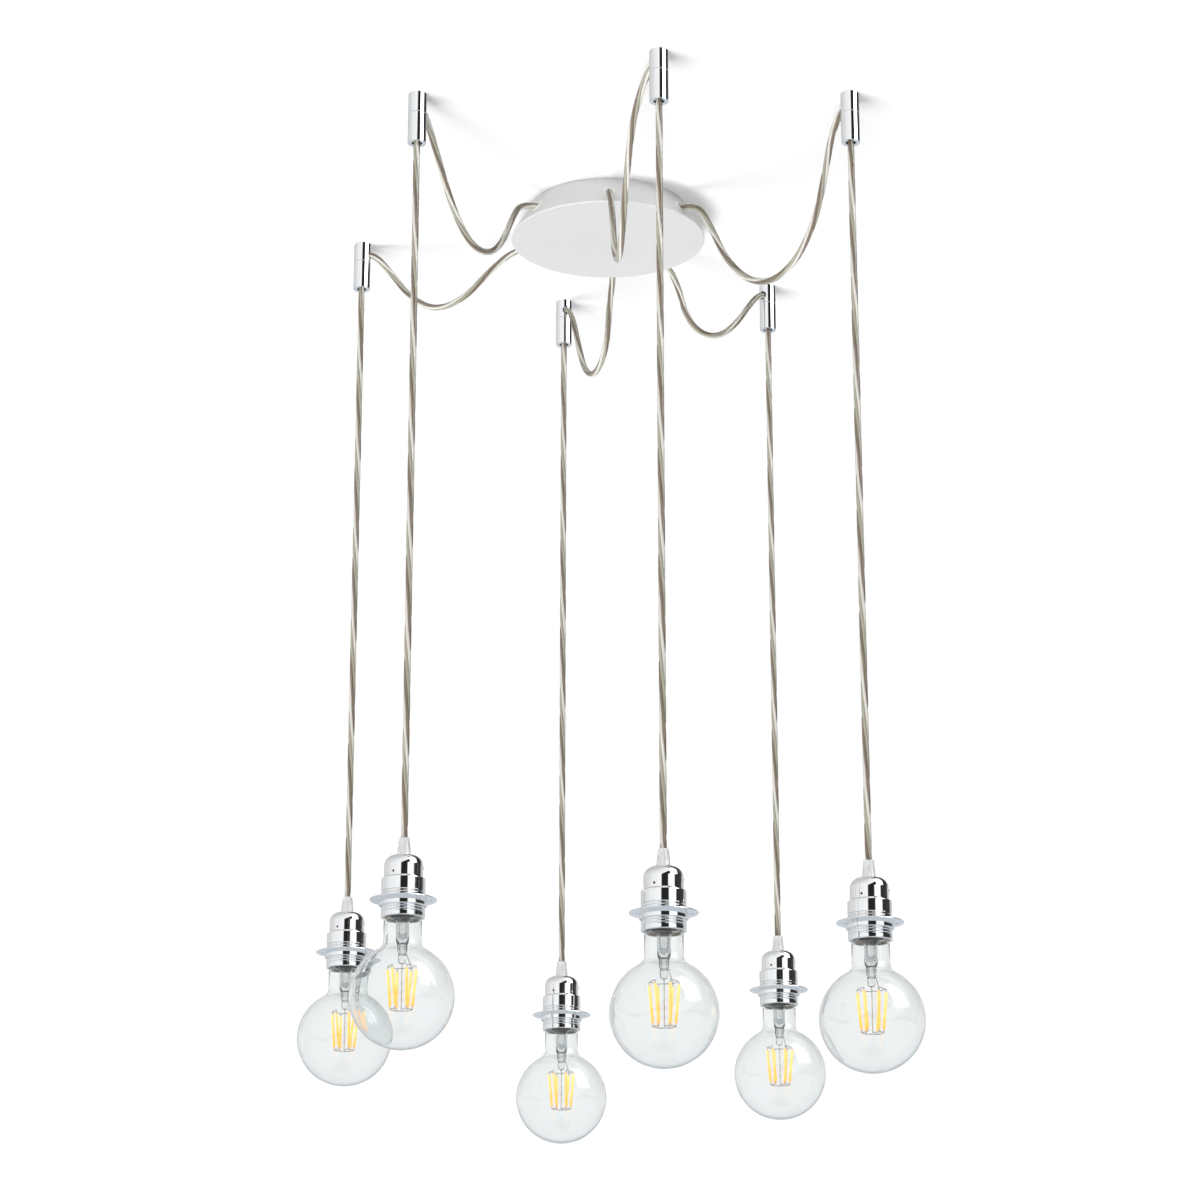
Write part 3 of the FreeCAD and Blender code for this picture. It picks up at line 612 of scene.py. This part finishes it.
class CLUSTER_OT_canopy(bpy.types.Operator):
    """Finishes the canopy, its bracket, its terminal block and its grommets"""
    bl_idname = "cluster.canopy"
    bl_label = "Canopy"

    def execute(self, context):
        dress("canopy_cover", powder_coated_steel())
        dress("canopy_bracket", zinc_plated_steel())
        dress("terminal_block", moulded_polyamide())
        dress("cable_bushings", moulded_polyamide())
        return {"FINISHED"}


class CLUSTER_OT_hooks(bpy.types.Operator):
    """Finishes the six ceiling hooks"""
    bl_idname = "cluster.hooks"
    bl_label = "Ceiling Hooks"

    def execute(self, context):
        dress("hook_bases", chromed_steel())
        dress("hook_sleeves", chromed_steel())
        return {"FINISHED"}


# ---- lampholders ---------------------------------------------------------------------------------
def insulator():
    """The insulator: a cup round the screw shell, stepped to fit the dome."""
    edge = 0.5
    return turned([
        (SHELL_OUT_R, INSULATOR_FOOT), (INSULATOR_R - edge, INSULATOR_FOOT),
        (INSULATOR_R, INSULATOR_FOOT + edge), (INSULATOR_R, INSULATOR_STEP),
        (INSULATOR_STEP_R, INSULATOR_STEP), (INSULATOR_STEP_R, INSULATOR_TOP - edge),
        (INSULATOR_STEP_R - edge, INSULATOR_TOP), (0, INSULATOR_TOP),
        (0, INSULATOR_FLOOR), (SHELL_OUT_R, INSULATOR_FLOOR)], 64)


def brass_shell():
    """The screw shell with its rolled lip."""
    edge = 0.2
    return turned([
        (SHELL_R, SHELL_FOOT + edge), (SHELL_R + edge, SHELL_FOOT), (SHELL_LIP_R - edge, SHELL_FOOT),
        (SHELL_LIP_R, SHELL_FOOT + 0.25), (SHELL_LIP_R - edge, SHELL_FOOT + 0.5),
        (SHELL_OUT_R, SHELL_FOOT + 0.6), (SHELL_OUT_R, INSULATOR_FLOOR), (SHELL_R, INSULATOR_FLOOR)], 96)


def holder_contacts():
    """The contact spring, the two terminals with their screw heads and the ends of two cores."""
    spring = CONTACT_TOP + 0.3
    mesh = turned([(0, spring), (CONTACT_R - 0.7, spring), (CONTACT_R, spring + 0.6),
                   (CONTACT_R, INSULATOR_FLOOR), (0, INSULATOR_FLOOR)], 32)
    top = INSULATOR_TOP + TERMINAL_H
    head = top - 0.6
    for side in (-1, 1):
        x = side * TERMINAL_X
        add_rod(mesh, (x, 0, INSULATOR_TOP), (x, 0, head), TERMINAL_R, 24)
        add_rod(mesh, (x, 0, head), (x, 0, top), TERMINAL_R - 0.6, 24)
        add_rod(mesh, (side * 0.9, 0, CABLE_END - CORE_R), (x, 0, top), CORE_R, 16)
    return mesh


class CLUSTER_OT_holders(bpy.types.Operator):
    """Finishes the six lampholders with their cord grips and shade rings"""
    bl_idname = "cluster.holders"
    bl_label = "Lampholders"

    def execute(self, context):
        for n in PENDANTS:
            dress("holder_body_%d" % n, chromed_steel())
            dress("holder_cap_%d" % n, chromed_steel())
            dress("shade_ring_%d" % n, chromed_steel())
            dress("cord_grip_%d" % n, clear_polycarbonate())
            spot = pendant_spot(n)
            body = "pendant_%d" % n
            cup = place(insulator(), "insulator_%d" % n, spot, pressed_steatite(), body)
            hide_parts("holder_core_%d" % n)
            place(brass_shell(), "brass_shell_%d" % n, spot, rolled_brass(), body)
            place(holder_contacts(), "holder_contacts_%d" % n, spot, rolled_brass(), body)
        return {"FINISHED"}


# ---- bulbs ---------------------------------------------------------------------------------------
class BulbSettings(bpy.types.PropertyGroup):
    """Colours of the bulbs."""
    glass_tint: bpy.props.FloatVectorProperty(
        name="Glass tint", description="Colour that the glass keeps along its edges", subtype="COLOR",
        size=3, default=(0.66, 0.68, 0.69))
    glow_low: bpy.props.FloatVectorProperty(
        name="Glow at the feet", description="Colour of the filament sticks' orange end",
        subtype="COLOR", size=3, default=linear("#FFAE48")[:3])
    glow_high: bpy.props.FloatVectorProperty(
        name="Glow at the tops", description="Colour of the filament sticks' yellow end",
        subtype="COLOR", size=3, default=linear("#FFDC88")[:3])
    glow_strength: bpy.props.FloatProperty(
        name="Glow", description="How strongly the filament sticks shine",
        default=0.85, min=0.0, max=20.0)


def glass_outline(mesh, first, inset):
    """Draws one skin of the bulb's glass, from its cut end down to the globe's pole."""
    shoulder = NECK_R - GLASS_END_R
    shoulder_z = SHOULDER_TOP - shoulder
    fillet_r = NECK_R + NECK_FILLET
    fillet_z = math.sqrt((GLOBE_R + NECK_FILLET) ** 2 - fillet_r ** 2) - GLOBE_DEPTH
    slope = math.degrees(math.atan2(fillet_z + GLOBE_DEPTH, fillet_r))
    end = line_to(mesh, first, (GLASS_END_R - inset, SHOULDER_TOP - inset))
    end = arc_to(mesh, end, (GLASS_END_R, shoulder_z), 90, 8)
    end = line_to(mesh, end, (NECK_R - inset, fillet_z))
    end = arc_to(mesh, end, (fillet_r, fillet_z), -slope, 10)
    arc_to(mesh, end, (0, -GLOBE_DEPTH), 90 + slope, 56)


def bulb_glass():
    """The blown glass, open inside the screw cap, as a closed shell with its wall."""
    mesh, outer_top = start_outline((GLASS_END_R, GLASS_TOP))
    glass_outline(mesh, outer_top, 0)
    inner_top = line_to(mesh, outer_top, (GLASS_END_R - GLASS, GLASS_TOP))
    glass_outline(mesh, inner_top, GLASS)
    return turn(mesh, 112)


def screw_cap():
    """The rolled cap with its round thread, up to the contact's seat."""
    bore_r = GLASS_END_R + 0.3
    root_r = CAP_R - CAP_THREAD
    points = [(bore_r, CAP_FROM), (CAP_R, CAP_FROM)]
    steps = 8
    for count in range(CAP_TURNS * steps + 1):
        wave = 0.5 + 0.5 * math.cos(2 * math.pi * count / steps)
        points.append((root_r + CAP_THREAD * wave, CAP_FROM + 1.5 + CAP_PITCH * count / steps))
    points += [(CAP_R, CAP_TOP - 2.5), (CAP_R - 1.6, CAP_TOP), (SEAT_R, CAP_TOP),
               (SEAT_R, CAP_TOP - CAP_WALL), (bore_r - 1.6, CAP_TOP - CAP_WALL), (bore_r, CAP_TOP - 2.5)]
    return turned(points, 72)


def contact_glass():
    """The black glass button that keeps the contact off the cap."""
    return turned([(0, CAP_TOP - CAP_WALL), (SEAT_R, CAP_TOP - CAP_WALL), (SEAT_R, CAP_TOP),
                   (CONTACT_R, CONTACT_TOP - CONTACT_T), (0, CONTACT_TOP - CONTACT_T)], 48)


def contact_plate():
    """The centre contact, a low pressed disc."""
    return turned([(0, CONTACT_TOP - CONTACT_T), (CONTACT_R, CONTACT_TOP - CONTACT_T),
                   (CONTACT_R, CONTACT_TOP - 0.5), (CONTACT_R - 0.8, CONTACT_TOP), (0, CONTACT_TOP)], 48)


def mount_glass():
    """The glass mount: a flared tube squeezed flat at its foot, and the rod below it."""
    flare_r = GLASS_END_R - GLASS - 0.3
    tube_z = CAP_FROM - 7.0
    pinch_top = STEM_TO - GLOBE_DEPTH
    pinch_foot = PINCH_TO - GLOBE_DEPTH
    foot = ROD_TO - GLOBE_DEPTH
    mesh = turned([
        (flare_r, CAP_FROM + 1), (flare_r, CAP_FROM), (flare_r * 0.82, CAP_FROM - 2.5),
        (STEM_R * 1.1, tube_z + 1.2), (STEM_R, tube_z - 1), (STEM_R, pinch_top + 1),
        (STEM_R * 0.95, pinch_top - 1), (STEM_R * 0.83, pinch_top - 3), (PINCH_W / 2, pinch_top - 5),
        (PINCH_W / 2, pinch_foot + 2.5), (ROD_R * 1.15, pinch_foot + 0.3), (ROD_R, pinch_foot - 1.5),
        (ROD_R, foot + 1.5), (ROD_R - 0.6, foot + 0.4), (ROD_R - 1.6, foot), (0, foot),
        (0, pinch_top + 1), (1.4, pinch_top + 2), (3.2, pinch_top + 4.5),
        (STEM_R - STEM_WALL, pinch_top + 8), (STEM_R - STEM_WALL, tube_z),
        (flare_r - STEM_WALL, CAP_FROM + 1)], 48)
    for vert in mesh.verts:
        height = vert.co.z / MM
        if height < pinch_top and height > pinch_foot - 0.3:
            share = min(1.0, (pinch_top - height) / 4.0)
            vert.co.y *= 1 - share * (1 - PINCH_T / PINCH_W)
    return mesh


def cage_points(radius, height, twist):
    """The sticks' ends at one level, in millimetres from the lampholder's lip."""
    points = []
    for k in range(STICKS):
        angle = math.radians(CAGE_TURN + twist + 360.0 * k / STICKS)
        points.append(Vector((math.sin(angle) * radius, -math.cos(angle) * radius,
                              height - GLOBE_DEPTH)))
    return points


def filament_sticks():
    """Six phosphor-coated sticks with rounded ends, marked with their height and their number."""
    mesh = bmesh.new()
    along = mesh.verts.layers.float.new("along")
    number = mesh.verts.layers.float.new("stick")
    tops = cage_points(CAGE_TOP_R, STICK_TOP, 0)
    feet = cage_points(CAGE_BOTTOM_R, STICK_BOTTOM, CAGE_TWIST)
    for k, (foot, top) in enumerate(zip(feet, tops)):
        verts = add_rod(mesh, foot, top, STICK_R, 16)
        ends = {edge for vert in verts for edge in vert.link_edges if len(edge.link_faces) == 2
                and edge.calc_face_angle(0) > 1}
        bmesh.ops.bevel(mesh, geom=list(ends), offset=0.4 * MM, offset_type="OFFSET", segments=3,
                        profile=0.5, affect="EDGES", material=-1, clamp_overlap=True)
        for vert in mesh.verts:
            if vert[number] == 0.0:
                vert[along] = (vert.co.z / MM - foot.z) / (top.z - foot.z)
                vert[number] = 0.35 + 0.65 * ((k * 5) % STICKS) / (STICKS - 1)
    return mesh


def support_wires():
    """Crown and foot ring of bare wire, the mast, and thin leads down the rod and through the pinch."""
    mesh = bmesh.new()
    tops = cage_points(CAGE_TOP_R, STICK_TOP, 0)
    feet = cage_points(CAGE_BOTTOM_R, STICK_BOTTOM, CAGE_TWIST)
    high = cage_points(CAGE_TOP_R, STICK_TOP + WIRE_RISE, 0)
    low = cage_points(CAGE_BOTTOM_R, STICK_BOTTOM - WIRE_RISE, CAGE_TWIST)
    for ends, sticks in ((high, tops), (low, feet)):
        for a, b in zip(ends, ends[1:]):
            add_rod(mesh, a, b, WIRE_R)
        for end, stick in zip(ends, sticks):
            add_rod(mesh, end, stick, WIRE_R)
            add_ball(mesh, end, WIRE_R)
    mast_foot = Vector((0, 0, low[0].z))
    add_rod(mesh, mast_foot, (0, 0, ROD_TO - GLOBE_DEPTH), WIRE_R)
    add_rod(mesh, mast_foot, low[0], WIRE_R)
    add_ball(mesh, mast_foot, WIRE_R)
    pinch_foot = PINCH_TO - GLOBE_DEPTH
    add_rod(mesh, high[STICKS // 3], (PINCH_W / 2 - WIRE_R, 0, pinch_foot), WIRE_R)
    rod_foot = ROD_TO - GLOBE_DEPTH
    add_path(mesh, [(0, 0, rod_foot - 1), (-ROD_R, 0, rod_foot + 1.5), (-ROD_R - 0.5, 0, pinch_foot - 2),
                    (-3.4, 0, pinch_foot)], LEAD_R)
    for side in (-1, 1):
        add_path(mesh, [(side * 3.6, 0, pinch_foot), (side * 1.7, 0.5, pinch_foot + 2.5),
                        (side * 2.9, -0.5, pinch_foot + 5), (side * 1.6, 0.4, pinch_foot + 7.5),
                        (side * 2.6, 0, pinch_foot + 10.5), (side * 3.4, 0, CAP_FROM - 1)], LEAD_R)
    return mesh


class CLUSTER_OT_bulbs(bpy.types.Operator):
    """Makes the six clear bulbs with their glass mounts and filament sticks"""
    bl_idname = "cluster.bulbs"
    bl_label = "Bulbs"

    def execute(self, context):
        for n in PENDANTS:
            spot = pendant_spot(n)
            base = "base_%d" % n
            globe = place(bulb_glass(), "clear_globe_%d" % n, spot, blown_glass(), "bulb_%d" % n)
            globe.visible_shadow = False
            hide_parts("bulb_globe_%d" % n)
            cap = place(screw_cap(), "screw_cap_%d" % n, spot, rolled_brass(), base)
            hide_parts("bulb_base_%d" % n)
            place(contact_glass(), "contact_seat_%d" % n, spot, moulded_phenolic(), base)
            place(contact_plate(), "contact_plate_%d" % n, spot, rolled_brass(), base)
            stem = place(mount_glass(), "glass_mount_%d" % n, spot, lead_glass(), base)
            stem.visible_shadow = False
            place(filament_sticks(), "filament_sticks_%d" % n, spot, phosphor_coated_strip(), base)
            place(support_wires(), "support_wires_%d" % n, spot, drawn_nickel_wire(), base)
        return {"FINISHED"}


# ---- stage ---------------------------------------------------------------------------------------
class StageSettings(bpy.types.PropertyGroup):
    """Light and background."""
    fill: bpy.props.FloatProperty(
        name="Fill light", description="Even light from all round", default=0.3, min=0.0, max=2.0)
    key_strength: bpy.props.FloatProperty(
        name="Key light", description="Strength of the soft lamp below left",
        default=2.5, min=0.0, max=20.0)
    front_strength: bpy.props.FloatProperty(
        name="Front light", description="Strength of the level lamp beside the viewer",
        default=0.9, min=0.0, max=20.0)
    ceiling_lift: bpy.props.FloatProperty(
        name="Ceiling lift", description="How much paler the ceiling looks than its paint",
        default=0.2, min=0.0, max=1.0)


# the studio that metal and glass mirror: degrees to the right of the viewer, and how bright it is
STUDIO = [(-180, 0.6), (-120, 0.75), (-60, 0.95), (-19, 1.05), (-14, 0.02), (20, 0.02), (25, 1.2),
          (59, 1.2), (64, 0.03), (114, 0.05), (128, 0.55), (150, 0.7), (180, 0.6)]
STUDIO_BRIGHT = 1.2          # its brightest wall
STUDIO_LEAN = 1.4            # the dark cards lean to the right as they rise
STUDIO_LEVEL = math.radians(9.5)
# the walls give way to a paler floor between these heights, in degrees
FLOOR_FADE = (-1, -7)
FLOOR_BRIGHT = 0.85
# the soft box: where its middle is, and half its width and height where it starts and ends to fade
BOX_AZIMUTH = math.radians(66)
BOX_HEIGHT = math.radians(42)
BOX_WIDTH_FADE = (16, 24)
BOX_HEIGHT_FADE = (20, 26)
BOX_BRIGHT = 5.0
# the lamps: the direction each shines along, and how wide it looks in degrees
KEY_WAY = (0.33, 0.36, 0.94)
KEY_WIDTH = 30.0
FRONT_WAY = (0.15, 0.98, 0.12)
FRONT_WIDTH = 40.0
# the camera's place in metres, and its tilt and turn in degrees
CAMERA_PLACE = (-0.0343, -3.0965, -1.3573)
CAMERA_TILT = 106.67
CAMERA_TURN = -0.48
CAMERA_SENSOR = 36.0
CAMERA_LENS = 95.29
# the ceiling reaches this far to each side, and clears the canopy's face by the gap, in metres
CEILING_REACH = 20.0
CEILING_GAP = 0.0003


def studio_world():
    """A white surround; metal and glass mirror its pale walls, leaning dark cards and one soft box."""
    world = bpy.data.worlds.new("studio")
    world.use_nodes = True
    tree = world.node_tree
    tree.nodes.clear()
    settings = bpy.context.scene.stage_settings
    ray = add_node(tree, "ShaderNodeLightPath")
    way = add_node(tree, "ShaderNodeTexCoord").outputs["Generated"]
    axes = add_node(tree, "ShaderNodeSeparateXYZ", {0: way})

    def math_node(operation, *values):
        return add_node(tree, "ShaderNodeMath", dict(enumerate(values)), operation=operation).outputs[0]

    def fade(angle, start, end, low, high, **settings):
        """Goes from low to high while an angle goes from start to end, in degrees."""
        return add_node(tree, "ShaderNodeMapRange", {
            "Value": angle, "From Min": math.radians(start), "From Max": math.radians(end),
            "To Min": low, "To Max": high}, **settings).outputs[0]

    towards = math_node("MULTIPLY", axes.outputs["Y"], -1.0)
    azimuth = math_node("ARCTAN2", axes.outputs["X"], towards)
    height = math_node("ARCSINE", axes.outputs["Z"])
    lean = math_node("MULTIPLY", math_node("SUBTRACT", height, STUDIO_LEVEL), STUDIO_LEAN)
    leaning = math_node("SUBTRACT", azimuth, lean)
    ramp = add_node(tree, "ShaderNodeValToRGB", {0: fade(leaning, -180, 180, 0.0, 1.0)})
    bands = ramp.color_ramp
    bands.interpolation = "EASE"
    while len(bands.elements) < len(STUDIO):
        bands.elements.new(0.5)
    for element, (degrees, level) in zip(bands.elements, STUDIO):
        element.position = (degrees + 180) / 360
        element.color = (*[level / STUDIO_BRIGHT] * 3, 1)
    across = fade(math_node("ABSOLUTE", math_node("SUBTRACT", azimuth, BOX_AZIMUTH)),
                  *BOX_WIDTH_FADE, 1.0, 0.0)
    rise = fade(math_node("ABSOLUTE", math_node("SUBTRACT", height, BOX_HEIGHT)),
                *BOX_HEIGHT_FADE, 1.0, 0.0)
    box = math_node("MULTIPLY", math_node("MULTIPLY", across, rise), BOX_BRIGHT)
    below = fade(height, *FLOOR_FADE, 0.0, 1.0, interpolation_type="SMOOTHSTEP")
    walls = math_node("MULTIPLY", math_node("MULTIPLY", ramp.outputs[0], STUDIO_BRIGHT),
                      math_node("SUBTRACT", 1.0, below))
    floor = math_node("MULTIPLY", below, FLOOR_BRIGHT)
    mirrored = math_node("ADD", math_node("ADD", walls, floor), box)
    seen = math_node("MAXIMUM", ray.outputs["Is Camera Ray"], ray.outputs["Is Transmission Ray"])
    plain = math_node("ADD", math_node("MULTIPLY", seen, 1.0 - settings.fill), settings.fill)
    glossy = ray.outputs["Is Glossy Ray"]
    level = math_node("ADD", math_node("MULTIPLY", glossy, mirrored),
                      math_node("MULTIPLY", math_node("SUBTRACT", 1.0, glossy), plain))
    tint = blend_colours(tree, math_node("MULTIPLY", below, glossy), "#FFFFFF", "#DDE4EB")
    shade = add_node(tree, "ShaderNodeBackground", {"Color": tint, "Strength": level})
    add_node(tree, "ShaderNodeOutputWorld", {"Surface": shade.outputs[0]})
    return world


def stage_paint():
    """Matt white ceiling paint, lifted a little for the camera, and clear from behind."""
    def surface(tree):
        settings = bpy.context.scene.stage_settings
        ray = add_node(tree, "ShaderNodeLightPath")
        seen = add_node(tree, "ShaderNodeMath", {
            0: ray.outputs["Is Camera Ray"], 1: ray.outputs["Is Transmission Ray"]},
            operation="MAXIMUM").outputs[0]
        lift = add_node(tree, "ShaderNodeMath", {0: seen, 1: settings.ceiling_lift},
                        operation="MULTIPLY").outputs[0]
        paint = add_node(tree, "ShaderNodeBsdfDiffuse", {"Color": linear("#E9E9E9")})
        glow = add_node(tree, "ShaderNodeEmission", {"Color": (1, 1, 1, 1), "Strength": lift})
        both = add_node(tree, "ShaderNodeAddShader", {0: paint.outputs[0], 1: glow.outputs[0]})
        clear = add_node(tree, "ShaderNodeBsdfTransparent")
        behind = add_node(tree, "ShaderNodeNewGeometry").outputs["Backfacing"]
        return add_node(tree, "ShaderNodeMixShader", {
            0: behind, 1: both.outputs[0], 2: clear.outputs[0]})
    return new_material("stage_paint", surface)


def add_lamp(name, way, strength, width):
    """A far soft lamp that shines along a direction; its width is in degrees."""
    data = bpy.data.lights.new(name, "SUN")
    data.energy = strength
    data.angle = math.radians(width)
    lamp = bpy.data.objects.new(name, data)
    lamp.rotation_euler = Vector(way).to_track_quat("-Z", "Y").to_euler()
    lamp.visible_glossy = False
    lamp.visible_transmission = False
    bpy.context.scene.collection.objects.link(lamp)


class CLUSTER_OT_stage(bpy.types.Operator):
    """Sets the ceiling, the lamps, the surround and the camera"""
    bl_idname = "cluster.stage"
    bl_label = "Stage"

    def execute(self, context):
        scene = context.scene
        scene.view_settings.view_transform = "Standard"
        scene.world = studio_world()
        sheet = bmesh.new()
        bmesh.ops.create_grid(sheet, x_segments=2, y_segments=2, size=CEILING_REACH)
        bmesh.ops.reverse_faces(sheet, faces=sheet.faces[:])
        bmesh.ops.translate(sheet, verts=sheet.verts[:], vec=(0, 0, CEILING_GAP))
        data = bpy.data.meshes.new("ceiling")
        sheet.to_mesh(data)
        sheet.free()
        data.materials.append(stage_paint())
        ceiling = bpy.data.objects.new("ceiling", data)
        scene.collection.objects.link(ceiling)
        ceiling.visible_glossy = False
        add_lamp("key", KEY_WAY, scene.stage_settings.key_strength, KEY_WIDTH)
        add_lamp("front", FRONT_WAY, scene.stage_settings.front_strength, FRONT_WIDTH)
        camera = bpy.data.objects.new("camera", bpy.data.cameras.new("camera"))
        camera.location = CAMERA_PLACE
        camera.rotation_euler = (math.radians(CAMERA_TILT), 0, math.radians(CAMERA_TURN))
        camera.data.sensor_width = CAMERA_SENSOR
        camera.data.lens = CAMERA_LENS
        scene.collection.objects.link(camera)
        scene.camera = camera
        return {"FINISHED"}


# ---- panel and registration ----------------------------------------------------------------------
OPERATORS = (CLUSTER_OT_cables, CLUSTER_OT_canopy, CLUSTER_OT_hooks, CLUSTER_OT_holders,
             CLUSTER_OT_bulbs, CLUSTER_OT_stage)
SETTINGS = {"cable_settings": CableSettings, "canopy_settings": CanopySettings,
            "bulb_settings": BulbSettings, "stage_settings": StageSettings}


class CLUSTER_PT_panel(bpy.types.Panel):
    """Lists the pendant's pieces and their settings"""
    bl_idname = "CLUSTER_PT_panel"
    bl_label = "Cluster Pendant"
    bl_space_type = "VIEW_3D"
    bl_region_type = "UI"
    bl_category = "Cluster Pendant"

    def draw(self, context):
        for operator in OPERATORS:
            self.layout.operator(operator.bl_idname)
        for name, group in SETTINGS.items():
            box = self.layout.box()
            for key in group.__annotations__:
                box.prop(getattr(context.scene, name), key)


CLASSES = tuple(SETTINGS.values()) + OPERATORS + (CLUSTER_PT_panel,)


def register():
    for item in CLASSES:
        bpy.utils.register_class(item)
    for name, group in SETTINGS.items():
        setattr(bpy.types.Scene, name, bpy.props.PointerProperty(type=group))


def unregister():
    for name in SETTINGS:
        delattr(bpy.types.Scene, name)
    for item in reversed(CLASSES):
        bpy.utils.unregister_class(item)


def main():
    """Makes every piece in order."""
    register()
    for step in ("cables", "canopy", "hooks", "holders", "bulbs", "stage"):
        getattr(bpy.ops.cluster, step)()


if __name__ == "__main__":
    main()
